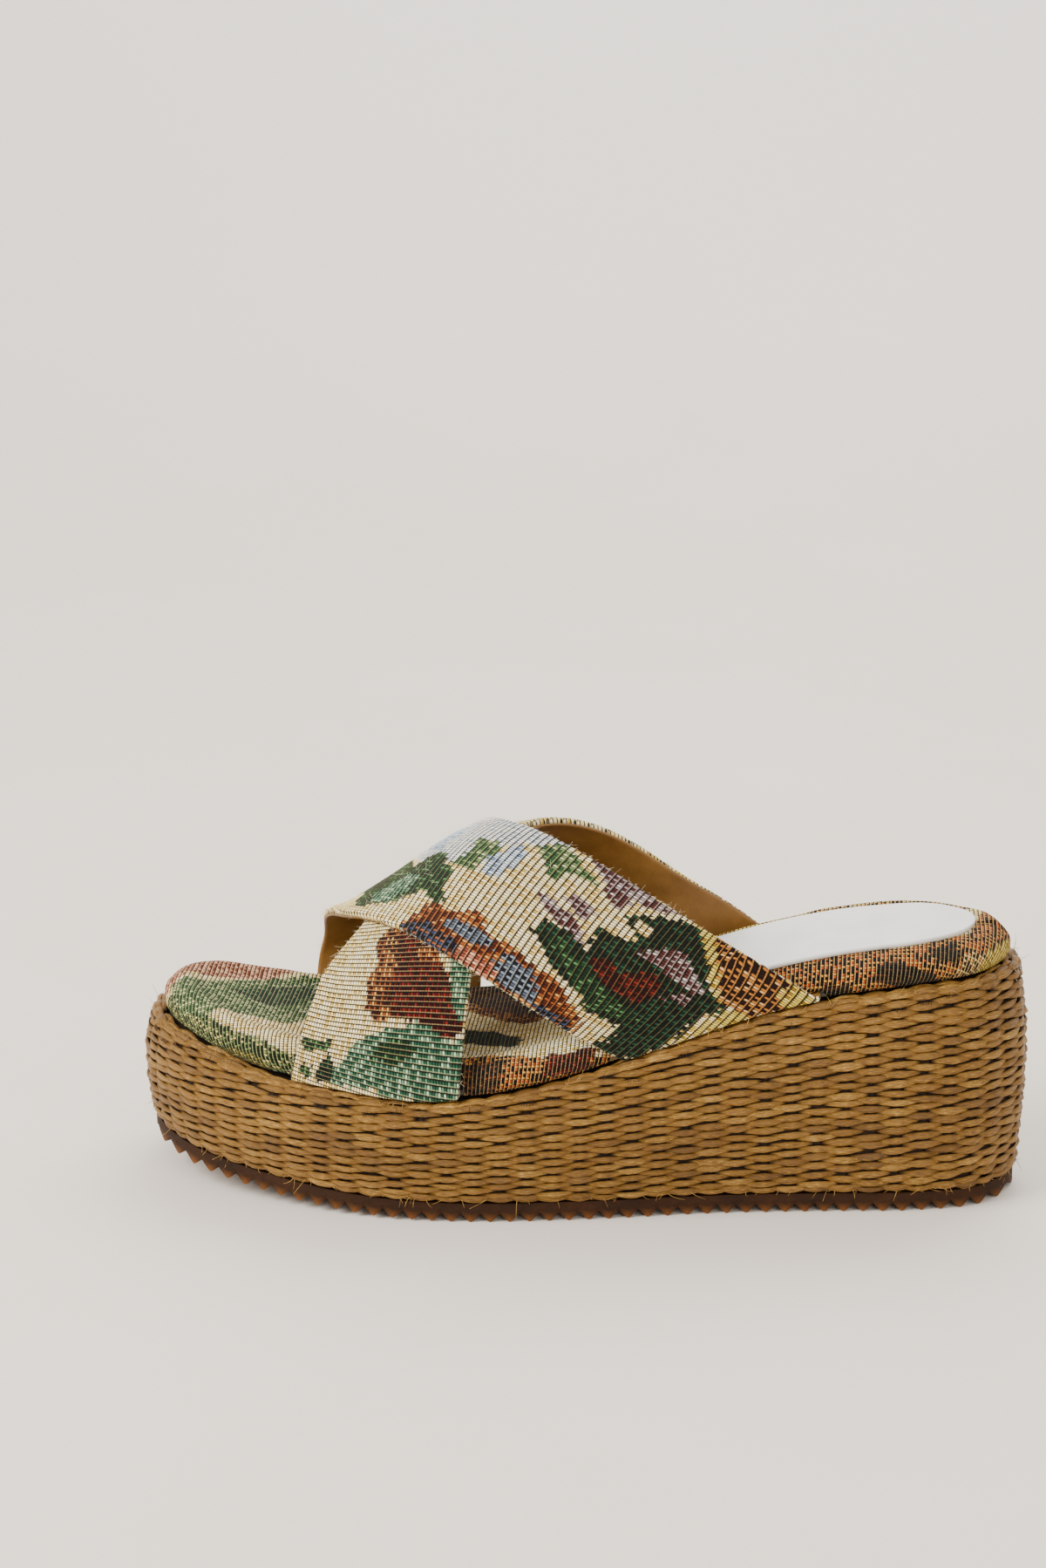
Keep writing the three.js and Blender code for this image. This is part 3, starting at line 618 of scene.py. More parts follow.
under_figures = [
    ("green", [(0.02, 0.05), (0.045, 0.05), (0.045, 0.12), (0.02, 0.12)]),
    ("green", [(0.085, 0.03), (0.11, 0.03), (0.11, 0.21), (0.085, 0.2)]),
    ("dark_green", [(0.015, 0.15), (0.05, 0.16), (0.09, 0.21), (0.05, 0.25), (0.015, 0.24)]),
    ("teal", [(0, 0.23), (0.043, 0.25), (0.107, 0.38), (0.118, 0.54), (0.118, 0.73), (0.086, 0.88),
              (0.078, 1), (0, 1)]),
    ("green", [(0.064, 0.46), (0.093, 0.5), (0.1, 0.62), (0.078, 0.73), (0.057, 0.65)]),
    ("cream", [(0, 0), (0.012, 0), (0.012, 0.5), (0, 0.56)]),
    ("rust", [(0.128, 0.48), (0.164, 0.38), (0.228, 0.35), (0.257, 0.4), (0.314, 0.32), (0.34, 0.42),
              (0.34, 0.66), (0.29, 0.7), (0.2, 0.82), (0.14, 0.6)]),
    ("dark_red", [(0.135, 0.58), (0.178, 0.48), (0.236, 0.54), (0.3, 0.48), (0.31, 0.6), (0.243, 0.67),
                  (0.207, 0.81), (0.171, 0.88), (0.128, 0.98), (0.086, 0.98), (0.093, 0.83), (0.114, 0.77)]),
    ("orange", [(0.214, 0.69), (0.25, 0.62), (0.243, 0.77), (0.207, 0.81)]),
    ("brown", [(0.26, 0.66), (0.34, 0.6), (0.34, 0.8), (0.25, 0.9), (0.22, 0.84)]),
    ("teal", [(0.107, 0.96), (0.143, 0.9), (0.2, 0.86), (0.24, 0.9), (0.34, 0.88), (0.34, 1), (0.107, 1)]),
    ("green", [(0.42, 0.1), (0.5, 0.05), (0.56, 0.2), (0.58, 0.5), (0.5, 0.62), (0.44, 0.4)]),
    ("blue", [(0.6, 0.1), (0.66, 0.06), (0.7, 0.2), (0.66, 0.34), (0.61, 0.3)]),
    ("dark_green", [(0.66, 0.46), (0.74, 0.36), (0.84, 0.42), (0.9, 0.6), (0.84, 0.8), (0.74, 0.84),
                    (0.67, 0.7)]),
    ("mauve", [(0.74, 0.5), (0.8, 0.48), (0.83, 0.6), (0.78, 0.7)]),
    ("rust", [(0.86, 0.1), (0.93, 0.06), (1, 0.2), (1, 0.5), (0.92, 0.42)]),
    ("yellow", [(0.7, 0.9), (0.8, 0.92), (0.92, 0.84), (1, 0.7), (1, 0.8), (0.9, 1), (0.72, 1)]),
]
# On the footbed a point is (x, y) in mm on the cloth laid flat over the top.
footbed_figures = [
    ("rim_check", [(18, -140), (130, -140), (190, -30), (190, 20), (118, 20), (112, -8), (96, -16),
                   (30, -16)]),
    ("black", [(50, -38), (58, -42), (68, -38), (66, -28), (52, -24)]),
    ("black", [(70, -34), (78, -42), (80, -34), (78, -28), (70, -26)]),
    ("black", [(84, -28), (96, -32), (104, -32), (104, -26), (88, -22)]),
    ("black", [(102, -22), (110, -20), (108, -14), (100, -18)]),
    ("pale_check", [(104, -40), (128, -34), (128, -12), (112, -16)]),
    ("yellow", [(118, -34), (136, -24), (150, 2), (126, 0), (118, -14)]),
    ("yellow", [(30, 24), (66, 24), (70, 60), (60, 120), (10, 120), (24, 50)]),
    ("pale_check", [(66, 22), (112, 16), (190, 16), (150, 80), (70, 120)]),
    ("pink", [(112, 18), (190, 14), (190, 80), (110, 32)]),
    ("rust", [(-52, 22), (-33, 13), (-16, -6), (2, -4), (10, 120), (-60, 120)]),
    ("brown", [(-46, 30), (-30, 18), (-14, 2), (-4, 10), (6, 120), (-40, 120)]),
    ("rim_check", [(2, 22), (36, 22), (30, 120), (4, 120)]),
    ("rim_check", [(-44, -140), (22, -140), (22, -38), (0, -40), (-28, -34), (-36, -34)]),
    ("brown", [(-36, -46), (-20, -48), (-18, -38), (-34, -37)]),
    ("dark_red", [(-8, -44), (6, -44), (8, -37), (-6, -36)]),
    ("dark_green", [(-40, -10), (-30, -20), (-17, -25), (-14, -20), (-24, -9), (-34, -4)]),
    ("stripes", [(-46, -24), (-28, -30), (-2, -38), (20, -34), (20, -24), (-12, -28), (-30, -18)]),
    ("green_check", [(-190, -160), (-60, -160), (-70, -38), (-79, -34), (-98, -24), (-112, -14),
                     (-119, -4), (-190, 4)]),
    ("olive", [(-112, -34), (-98, -40), (-88, -42), (-90, -34), (-102, -28)]),
    ("teal", [(-92, -46), (-80, -48), (-78, -38), (-90, -38)]),
    ("far_check", [(-190, 0), (-122, 0), (-116, 12), (-106, 17), (-94, 26), (-84, 38), (-76, 140),
                   (-190, 140)]),
    ("rust", [(-104, 34), (-90, 38), (-86, 48), (-104, 46)]),
    ("sage", [(-121, 2), (-106, 15), (-94, 26), (-84, 32), (-70, 26), (-66, 8), (-72, 0), (-84, -12),
              (-97, -10),
              (-108, -18), (-118, -12)]),
    ("green", [(-104, 8), (-92, 2), (-80, 12), (-80, 26), (-92, 20)]),
    ("olive", [(-78, 10), (-68, 6), (-66, 22), (-74, 28)]),
]


def inside(points, corners):
    """Which points lie in the polygon with these corners."""
    x, y = points.T
    found = np.zeros(len(points), bool)
    for (x0, y0), (x1, y1) in zip(corners, corners[1:] + corners[:1]):
        if y0 != y1:
            crosses = (y0 > y) != (y1 > y)
            found ^= crosses & (x < (x1 - x0) * (y - y0) / (y1 - y0) + x0)
    return found


def scatter(cells, seed):
    """A steady random share for each whole-numbered cell."""
    mixed = np.sin(cells[:, 0] * 12.9898 + cells[:, 1] * 78.233 + seed * 37.719) * 43758.5453
    return mixed - np.floor(mixed)


def weave_colours(ground, figures, weave, shift_to):
    """The figure's three yarn colours at each vertex. weave counts ribs and floats, and shift_to turns
    a step in them into a step in the figures' own coordinates, so that a float stays in one figure."""
    cells = np.floor(weave)
    ragged = np.stack([scatter(cells, 1), scatter(cells, 2)], 1) - 0.5
    places = shift_to(cells + 0.5 - weave + ragged * 0.9)
    order = {name: i for i, name in enumerate(yarns)}
    chosen = np.full(len(places), order[ground])
    for yarn, corners in figures:
        chosen[inside(places, corners)] = order[yarn]
    table = np.array(list(yarns.values())) ** yarn_contrast
    return table[chosen].transpose(1, 0, 2)


def add_weave(piece, yarn_colours, weave):
    """Gives the piece its cloth: three yarn colours and the map that counts ribs and floats."""
    for name, colours in zip(yarn_names, yarn_colours):
        add_colours(piece, name, colours)
    add_map(piece, "weave", weave)


# ---------------------------------------------------------------- camera
def add_camera():
    """Stands where the photographer stood, 14 degrees above the sandal's outer side."""
    yaw, pitch = math.radians(4.67), math.radians(14.30)
    right = Vector((math.cos(yaw), math.sin(yaw), 0))
    back = Vector((math.sin(yaw) * math.cos(pitch), -math.cos(yaw) * math.cos(pitch), math.sin(pitch)))
    camera = bpy.data.objects.new("camera", bpy.data.cameras.new("camera"))
    camera.data.lens = 81.3
    camera.data.sensor_width = 36
    camera.matrix_world = Matrix((right, back.cross(right), back)).transposed().to_4x4()
    camera.location = (0.0638, -0.9826, 0.3685)
    bpy.context.scene.collection.objects.link(camera)
    bpy.context.scene.camera = camera


# ---------------------------------------------------------------- stage and light
def floor_material():
    """Pale paint, a little lighter where the floor has swept up into the wall."""
    shader = Shader("pale_floor", 0.6)
    place = shader.object_place()
    grain = shader.noise(place, 3)
    floor_tone = shader.ramp(grain, [(0.3, linear(238, 228, 214)), (0.7, linear(243, 234, 222))])
    split = shader.node("SeparateXYZ")
    shader.put(place, split.inputs[0])
    risen = shader.scale_to(split.outputs["Z"], 0.0, 0.4, 0, 1)
    shader.colour(shader.mix(risen, floor_tone, linear(250, 246, 242)))
    shader.bump(grain, 0.02)
    return shader.material


def add_stage():
    """A pale floor that sweeps up into a pale wall."""
    half_width, front, bend, radius, height = 4000, -1500, 900, 500, 2200
    angles = np.linspace(0, math.pi / 2, 17)
    sweep = [(front, 0), *((bend + radius * math.sin(a), radius * (1 - math.cos(a))) for a in angles),
             (bend + radius, height)]
    points = [(x, y, z) for y, z in sweep for x in (-half_width, half_width)]
    faces = [grid_faces(len(sweep), 2)[:, ::-1]]
    floor = add_mesh("floor", np.array(points), faces, floor_material(), None)


def add_light(name, place, target, size, power, colour):
    """A soft rectangular lamp that faces its target."""
    lamp = bpy.data.lights.new(name, "AREA")
    lamp.shape = "RECTANGLE"
    lamp.size, lamp.size_y = size
    lamp.energy = power
    lamp.color = colour
    lit = bpy.data.objects.new(name, lamp)
    lit.location = place
    lit.rotation_euler = (Vector(target) - Vector(place)).to_track_quat("-Z", "Y").to_euler()
    bpy.context.scene.collection.objects.link(lit)


def add_studio():
    """Soft daylight from a window on the left, with two fills."""
    world = bpy.data.worlds.new("studio")
    world.use_nodes = True
    background = world.node_tree.nodes["Background"].inputs
    background["Color"].default_value = (1.0, 0.975, 0.945, 1)
    background["Strength"].default_value = 0.88
    bpy.context.scene.world = world
    middle = (0, 0, 0.05)
    add_light("window", (-1.15, -0.65, 1.0), middle, (0.9, 0.9), 36, (1.0, 0.985, 0.96))
    add_light("front_fill", (0.7, -1.4, 0.7), middle, (1.2, 0.9), 10, (1.0, 0.98, 0.95))
    add_light("back_top", (0.3, 0.9, 1.2), middle, (1.2, 0.8), 16, (0.97, 0.98, 1.0))


# ---------------------------------------------------------------- woven straw
wall_inset = curve_through([(0, bottom_edge_inset), (0.3, 0.25 * bottom_edge_inset), (0.55, 0),
                            (0.8, 0.3 * top_edge_inset), (1, top_edge_inset)])


def wall_point(run, rise):
    """Point on the straw's outer face: a distance along the outline, and a rise in mm from the bottom
    fold. Below 0 it runs in under the wedge, and beyond the wall's height in over its top."""
    x, y, in_x, in_y = around(run)

    def height(x):
        return wall_top(x) - sole_top(x) - gap

    tall = height(x)
    inset = wall_inset(np.clip(rise / tall, 0, 1))
    ahead = x + inset * in_x
    low, tall = sole_top(ahead) + gap, height(ahead)
    z = low + np.clip(rise, 0, tall)
    for turn, sign, edge in ((rise, 1, 0), (tall - rise, -1, 1)):
        angle = np.clip((turn + fold_radius) / (2 * fold_radius), 0, 1) * (math.pi / 2)
        near = turn < fold_radius
        folded = fold_radius * (1 - np.sin(angle)) + np.maximum(-turn - fold_radius, 0)
        inset = inset + np.where(near, folded, 0)
        level = low + tall * edge + sign * fold_radius * (1 - np.cos(angle))
        z = np.where(near, level, z)
    return np.stack([x + inset * in_x, y + inset * in_y, z], -1)


def wall_frame(run, rise):
    """Place, direction along the outline, outward normal and direction up the wall."""
    step = 0.4
    place = wall_point(run, rise)
    along = unit(wall_point(run + step, rise) - wall_point(run - step, rise))
    up = unit(wall_point(run, rise + step) - wall_point(run, rise - step))
    normal = unit(np.cross(along, up))
    return place, along, normal, unit(np.cross(normal, along))


column_target = 7.5
columns = 2 * round(perimeter / (2 * column_target))
column_pitch = perimeter / columns
strand_crease = 0.5
lap_run = outline_run[np.argmin(np.hypot(*(outline - (127, -8)).T))]  # where the band's end laps its start
strand_rows_over_fold = 1.6
strand_rows_under_fold = 1.2


def row_pitch(x):
    """The rows of straw lie closer at the toe and fan out towards the heel."""
    return 2.5 + 0.42 * smooth((x + 20) / 130)


def strand_rows(column):
    """How many rows of straw the wall has at a column."""
    x = around((column + 0.5) * column_pitch)[0]
    return (wall_top(x) - sole_top(x) - gap) / row_pitch(x)


def strand_list():
    """Place along the outline and row number of every float, columns staggered by half a row."""
    found = []
    for column in range(columns):
        run = (column + 0.5) * column_pitch
        rows = strand_rows(column)
        first = -math.floor(strand_rows_under_fold)
        for row in range(first, int(rows + strand_rows_over_fold) + 1):
            number = row + 0.5 * (column % 2)
            if number <= rows + strand_rows_over_fold:
                found.append((run, number))
    return np.array(found)


strand_reach = 0.84  # half a float's length, in column pitches
strand_dive = 1.25  # how much deeper its ends lie than its middle
strand_half_height = 0.41  # at its middle, in row pitches
strand_half_thickness = 0.55
lap_height = 0.45


def strand_course(found, t, vary):
    """How far each float has run under its neighbours, its place along the outline, the row pitch
    there and its rise up the wall, at each station t from -1 to 1. The heel's lowest rows are untidy."""
    run, number = found.T[:, :, None]
    reach = strand_reach + vary(0.04)
    runs = run + vary(0.2) + t * reach * column_pitch
    x = around(runs)[0]
    pitch = row_pitch(x)
    untidy = 1 + 2 * np.exp(-number.clip(0) / 1.5) * smooth((x - 50) / 40)
    wander = vary(0.07) + (0.07 + vary(0.05)) * t
    return np.abs(t) * reach, runs, pitch, (number + wander * untidy) * pitch


def strand_bodies(found, ring=10, stations=11):
    """A closed creased lens of straw for each float, as points, faces and what its material reads.
    It lies in front at its own column and ends behind the floats of the two next columns."""
    count = len(found)

    def vary(spread):
        return spread * chance.normal(size=(count, 1))

    t = np.linspace(-1, 1, stations)[None]
    away, runs, pitch, rise = strand_course(found, t, vary)
    place, _, normal, up = wall_frame(runs, rise)
    dive = (1 - np.cos(math.pi * away)) / 2
    behind = smooth((away - 0.55) / 0.35)
    narrowed = strand_half_height - 0.13 * smooth(away / 0.6) - 0.08 * behind
    wide = pitch * narrowed * (1 + vary(0.07))
    thick = (strand_half_thickness + vary(0.06)) * (1 - 0.35 * away)
    raised = vary(0.08) + lap_height * np.exp(-((runs - lap_run) / 3) ** 2)
    centre = place - normal * (thick + 0.02 - raised + strand_dive * dive)[..., None]
    angle = np.linspace(0, 2 * math.pi, ring, endpoint=False)
    crease = 1 + strand_crease * chance.uniform(-1, 1, size=(count, 1, ring))
    crease = crease + 0.08 * chance.normal(size=(count, stations, ring))
    side = wide[..., None] * np.cos(angle) * (1 + 0.06 * chance.normal(size=(count, 1, ring)))
    out = thick[..., None] * np.sin(angle) * crease
    points = centre[:, :, None] + up[:, :, None] * side[..., None] + normal[:, :, None] * out[..., None]
    points = points.reshape(-1, 3)
    tone = np.clip(0.5 + 0.13 * chance.normal(size=(count, 1, 1)), 0, 1) + 0 * crease
    # Painted shade: how dark each float is painted behind its neighbours and on its back face.
    sunk_shade = behind[..., None] + 0.3 * (np.sin(angle) < -0.3) + 0 * crease
    where = np.stack([
        (t * column_pitch)[..., None] + 40 * chance.uniform(size=(count, 1, 1)) + 0 * crease,
        np.sin(angle / 2) * 1.6 + 9 * chance.uniform(size=(count, 1, 1)) + 0 * crease,
    ], -1)
    faces = outward(points, tube_faces(count, stations, ring))
    return points, faces, tone.ravel(), np.clip(sunk_shade, 0, 1).ravel(), where.reshape(-1, 2)


def add_fibres(name, start, way, length, radius, material, slot):
    """Loose fibres that set out from their starts and curl a little."""
    curl = 0.45 * chance.normal(size=start.shape)
    points, faces = fibre_bodies(start, unit(way), curl, length, radius)
    add_mesh(name, points, faces, material, slot)


def add_warp_threads():
    """Short dark threads of the warp that show in the top slits of the straw."""
    spots = []
    for column in range(columns):
        rows = strand_rows(column)
        slit = math.floor(rows) - (1 if column % 2 else 0.5)
        if chance.uniform() < 0.7:
            middle = (column + 0.5) * column_pitch
            spots += [(middle + step * 0.75, slit) for step in range(-2, 3)]
    run, slit = np.array(spots).T
    rise = slit * row_pitch(around(run)[0])
    place, along, normal, up = wall_frame(run, rise)
    start = place - up * 0.75 - normal * 0.15
    way = up + 0.3 * along
    material = plain_shader("warp_thread", linear(34, 18, 8), linear(58, 34, 14), 900, 0.8, 0.05)
    add_fibres("warp_threads", start, way, np.full(len(run), 1.5), 0.13, material, "woven_straw")


def add_frays():
    """Loose ends of straw along the band's top and bottom folds."""
    count = 190
    material = plain_shader("frayed_straw", linear(118, 82, 18), linear(196, 154, 78), 500, 0.6, 0.05)
    for name, edge, share in (("frays_top", 1, 0.6), ("frays_bottom", 0, -0.55)):
        run = chance.uniform(0, perimeter, count)
        x = around(run)[0]
        tall = wall_top(x) - sole_top(x) - gap
        rise = edge * tall + (0.5 - edge) * chance.uniform(1.2, 3.2, count)
        place, along, normal, up = wall_frame(run, rise)
        way = normal * 0.5 + up * share + along * chance.normal(size=(count, 1))
        length = chance.uniform(1.2, 3.6, count)
        add_fibres(name, place - normal * 0.3, way, length, 0.11, material, "woven_straw")


def add_straw():
    """The woven band, as an outer-side and an inner-side piece."""
    material = straw_material()
    found = strand_list()
    outer_side = around(found[:, 0])[3] > 0
    for name, chosen in (("straw_outer_side", outer_side), ("straw_inner_side", ~outer_side)):
        points, faces, tone, sunk_shade, where = strand_bodies(found[chosen])
        piece = add_mesh(name, points, faces, material, "woven_straw")
        add_numbers(piece, "tone", tone)
        add_numbers(piece, "sunk_shade", sunk_shade)
        add_map(piece, "strand", where)
    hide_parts("raffia_wrap")


# ---------------------------------------------------------------- outsole
ridge_roundness = 0.012
edge_bulge = 0.35
sole_stations = 740


def add_outsole():
    """Ridged rubber sheet, ruled across at close steps so that the ridge tips are round."""
    edge_x = (outline + sole_inset * outline_inward)[:, 0]
    x = np.linspace(edge_x.min() + 0.05, edge_x.max() - 0.05, sole_stations)
    outer, inner = side_curve(-1, sole_inset)(x), side_curve(1, sole_inset)(x)
    from_tip = np.abs((x / ridge_pitch + 0.5) % 1 - 0.5) * 2
    flank = np.sqrt(from_tip ** 2 + ridge_roundness) - math.sqrt(ridge_roundness)
    flank = flank / flank.max()
    low = spring_at(x) + ridge_depth * np.minimum(flank * 1.04, 1)
    high = sole_top(x)
    across = np.concatenate([[0], 0.5 - 0.5 * np.cos(np.linspace(0.12, math.pi - 0.12, 9)), [1]])
    edge = edge_bulge * np.minimum(1, (inner - outer) / 20)
    under = [np.stack([x, outer + (inner - outer) * share, low], 1) for share in across]
    side = [np.stack([x, inner + edge, (low + high) / 2], 1)]
    top = [np.stack([x, outer + (inner - outer) * share, high], 1) for share in across[::-1]]
    back = [np.stack([x, outer - edge, (low + high) / 2], 1)]
    rings = np.stack(under + side + top + back, 1)
    count = rings.shape[1]
    points = rings.reshape(-1, 3)
    caps = np.stack([np.arange(count)[::-1], (len(x) - 1) * count + np.arange(count)])
    faces = outward(points, [grid_faces(len(x), count, loop_columns=True), caps])
    piece = add_mesh("outsole_rubber", points, faces, rubber_material(), "sole_rubber", True)
    # Painted highlight, strongest at the tip of each ridge on the underside.
    tip_highlight = np.zeros(rings.shape[:2])
    tip_highlight[:, :len(across)] = (1 - flank)[:, None] ** 2
    add_numbers(piece, "tip_highlight", tip_highlight.ravel())
    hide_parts("outsole")


# ---------------------------------------------------------------- footbed cushion
def middle_line(x):
    return (side_curve(-1, footbed_inset)(x) + side_curve(1, footbed_inset)(x)) / 2


def away_from_straps(x, outer_side, clear, reach):
    """0 beside a strap's foot, and 1 further from it than the clear distance and the reach."""
    free = np.ones_like(x)
    for end, here in ((0, outer_side), (-1, ~outer_side)):
        for front, rear in (over_edges, under_edges):
            beside = np.maximum(np.maximum(front[end] - x, x - rear[end]) - clear, 0)
            free = np.where(here, free * smooth(beside / reach), free)
    return free


footbed_seat = board_base + board_thickness + gap
turned_in_rows = 5
crest_ring = turned_in_rows + 39  # inside this ring of points the cloth lies flat as seen from above
middle_ends = (-96, 100)  # the line from toe to heel on which the top closes
footbed_rib_pitch = 1.2


def cushion_profile():
    """The cushion's section, as columns of inset, height and how much the puff moves it: in under the
    board, round the roll and on to the dish."""
    turned = cover_base + cover_thickness
    seat_edge = footbed_inset + 1.1
    turn_in = footbed_inset + cover_turn_in
    rows = [(footbed_inset + 14, footbed_seat, 0), (seat_edge, footbed_seat, 0), (seat_edge, turned, 0),
            (turn_in, turned, 0), (turn_in, cover_base, 0)]
    top = rim_height
    roll = [(0.9, cover_base, 0.1), (0.4, cover_base + 0.2, 0.5), (0, cover_base + 1, 1), (0, 3.8, 1.15),
            (0, top - 5, 1), (0.7, top - 3.6, 0.9), (2, top - 2.2, 0.7), (4, top - 0.6, 0.4),
            (6, top, 0.15), (8, top - 0.1, 0), (10, top - 0.6, 0), (12, top - 1, 0)]
    places = np.linspace(0, 1, len(roll))
    fine = np.linspace(0, 1, 46)
    inset, height, moved = [curve_through(list(zip(places, column)))(fine) for column in zip(*roll)]
    rows += list(zip(footbed_inset + inset, height, moved))
    return np.array(rows).T[:, None]


def cushion_rim(run):
    """Points of the cushion from its seat to the edge of the dish, one row for each place round it."""
    x, y, in_x, in_y = [column[:, None] for column in around(run)]
    flatter_ends = 1 - 0.75 * smooth((-92 - x) / 25) - 0.6 * smooth((x - 98) / 20)
    puff = away_from_straps(x, in_y > 0, 2, 9) * flatter_ends
    rib = 0.2 * np.sin(run * 0.11)[:, None] + 0.15 * np.sin(run * 0.31 + 1)[:, None]
    inset, height, moved = cushion_profile()
    rolled = np.arange(height.size) >= turned_in_rows
    inset = inset - moved * (puff * 2.0 + rib * 0.5)
    px, py = x + inset * in_x, y + inset * in_y
    dish = dish_depth * smooth((pad_front - px) / dish_ramp)
    beside_pad = smooth((px - 8) / 16) * (in_y < 0) * np.exp(-((inset - footbed_inset - 3.5) / 3) ** 2)
    dished = smooth((inset - footbed_inset - 5) / 7)
    top_sink = np.where(rolled, dished * (dish - 1.0), 0)
    lift = moved * (0.5 * puff + rib) + (1.2 + 0.9 * smooth((110 - px) / 20)) * beside_pad
    pz = wall_top(px) + height - top_sink + lift * (height > cover_base + 1.2)
    # Between the straps the roll is lasted down onto the straw.
    lasted = away_from_straps(x, in_y > 0, 0.8, 2.2)
    low_part = np.clip((4.5 - height) / (4.5 - cover_base), 0, 1) * rolled
    return np.stack([px, py, pz - low_part * lasted * (cover_base - 0.3)], -1)


def cushion_dish(edge, steps=34):
    """Points from the rim's last ring in to the middle line, on which the top closes."""
    share = np.linspace(0, 1, steps + 1)[1:]
    edge_x, edge_y = edge[..., 0], edge[..., 1]
    goal_x = np.clip(edge_x, *middle_ends)
    x = edge_x + (goal_x - edge_x) * share
    y = edge_y + (middle_line(goal_x) - edge_y) * share
    z = wall_top(x) + rim_height - dish_depth * smooth((pad_front - x) / dish_ramp) - 0.02 * share
    z += 0.25 * np.sin(x * 0.09) * np.sin(y * 0.13) * smooth((pad_front - 6 - x) / 20)
    return np.stack([x, y, z], -1)


def cushion_seat(edge):
    """The underside's middle line, level with the board's top."""
    x = np.clip(edge[..., 0], *middle_ends)
    return np.stack([x, middle_line(x), wall_top(x) + footbed_seat], -1)


def cushion_cloth(points, run):
    """The cloth's flat coordinates: the top as seen from above, laid out past the rim."""
    in_x, in_y = [column[:, None] for column in around(run)[2:]]
    steps_out = np.linalg.norm(np.diff(points, axis=1), axis=-1)
    travelled = np.cumsum(steps_out[:, ::-1], 1)[:, ::-1]
    beyond = np.maximum(travelled - travelled[:, crest_ring:crest_ring + 1], 0)
    beyond = np.hstack([beyond, np.zeros((len(points), 1))])
    on_top = (np.arange(points.shape[1]) > crest_ring)[:, None]
    base = np.where(on_top, points, points[:, crest_ring:crest_ring + 1])
    return np.stack([base[..., 0] - in_x * beyond, base[..., 1] - in_y * beyond], -1).reshape(-1, 2)


def add_footbed():
    """The padded footbed: turned in under the board, rolled over the rim, and dished in the middle."""
    stations = 800
    run = (np.arange(stations) + 0.5) * perimeter / stations
    rim = cushion_rim(run)
    points = np.concatenate([cushion_seat(rim[:, :1]), rim, cushion_dish(rim[:, -1:])], 1)
    flat = points.reshape(-1, 3)
    faces = outward(flat, [grid_faces(stations, points.shape[1], loop_rows=True)])
    material = tapestry_material("footbed_tapestry", 0.28)
    piece = add_mesh("footbed_cushion", flat, faces, material, "footbed_tapestry")
    cloth = cushion_cloth(points, run)
    pitch = np.array([footbed_rib_pitch, bead_pitch])
    weave = cloth / pitch
    colours = weave_colours("cream", footbed_figures, weave, lambda step: cloth + step * pitch)
    add_weave(piece, colours, weave)
    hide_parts("footbed_cover", "footbed_foam")


# ---------------------------------------------------------------- heel pad
def pad_loop():
    """The pad's outline from its front end round the heel and back, and the line it closes on."""
    rear = sole_length / 2 - pad_inset - pad_heel_gap
    outer, inner = side_curve(-1, pad_inset), side_curve(1, pad_inset)
    half = (inner(pad_front) - outer(pad_front)) / 2
    round_start = rear - half
    x = pad_front + (rear - pad_front) * np.sin(math.pi / 2 * np.linspace(0, 1, 90))
    narrow = np.sqrt(np.maximum(1 - (np.maximum(x - round_start, 0) / (rear - round_start)) ** 2, 0))
    held = np.minimum(x, round_start)
    width = (inner(held) - outer(held)) / 2 * narrow
    middle = (outer(x) + inner(x)) / 2
    sides = [np.stack([x, middle + side * width], 1) for side in (-1, 1)]
    loop = np.concatenate([sides[0], sides[1][-2::-1]])
    centre_x = np.clip(loop[:, 0], pad_front + 20, rear - half * 0.9)
    return loop, np.stack([centre_x, (outer(centre_x) + inner(centre_x)) / 2], 1)


def add_heel_pad():
    """Thin white pad with a soft rolled edge and a shallow groove inside it."""
    loop, centre = pad_loop()
    away = unit(loop - centre)
    # The edge's section, as (inset, depth below the pad's top).
    roll = [(0, pad_thickness), (0, 0.35), (0.08, 0.15), (0.25, 0.04), (0.5, 0), (1.8, 0), (2.5, 0.1),
            (3.2, 0), (5, 0)]
    last = loop - away * roll[-1][0]
    loops = [(centre, pad_thickness)] + [(loop - away * inset, depth) for inset, depth in roll]
    loops += [(last + (centre - last) * t, 0) for t in np.linspace(0, 1, 14)[1:]]
    rings = []
    for spot, depth in loops:
        height = wall_top(spot[:, 0]) + rim_height + gap + pad_thickness - depth
        rings.append(np.column_stack([spot, height]))
    points = np.stack(rings, 1)
    flat = points.reshape(-1, 3)
    faces = outward(flat, [grid_faces(points.shape[0], points.shape[1], loop_rows=True)])
    piece = add_mesh("heel_pad_leather", flat, faces, pad_material(), "heel_pad_white")
    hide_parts("heel_pad")


# ---------------------------------------------------------------- straps
def arch_point(x, share):
    """Point of the straps' common surface at a share of the way round, from the outer side."""
    outer, inner = side_curve(-1, strap_inset)(x), side_curve(1, strap_inset)(x)
    angle = math.pi * share
    base = wall_top(x) + gap
    rise = np.maximum(np.sin(angle), 0) ** arch_power
    y = (outer + inner) / 2 + crown_shift * np.sin(angle) - (inner - outer) / 2 * np.cos(angle)
    return np.stack([x, y, base + (crown_height(x) - base) * rise], -1)


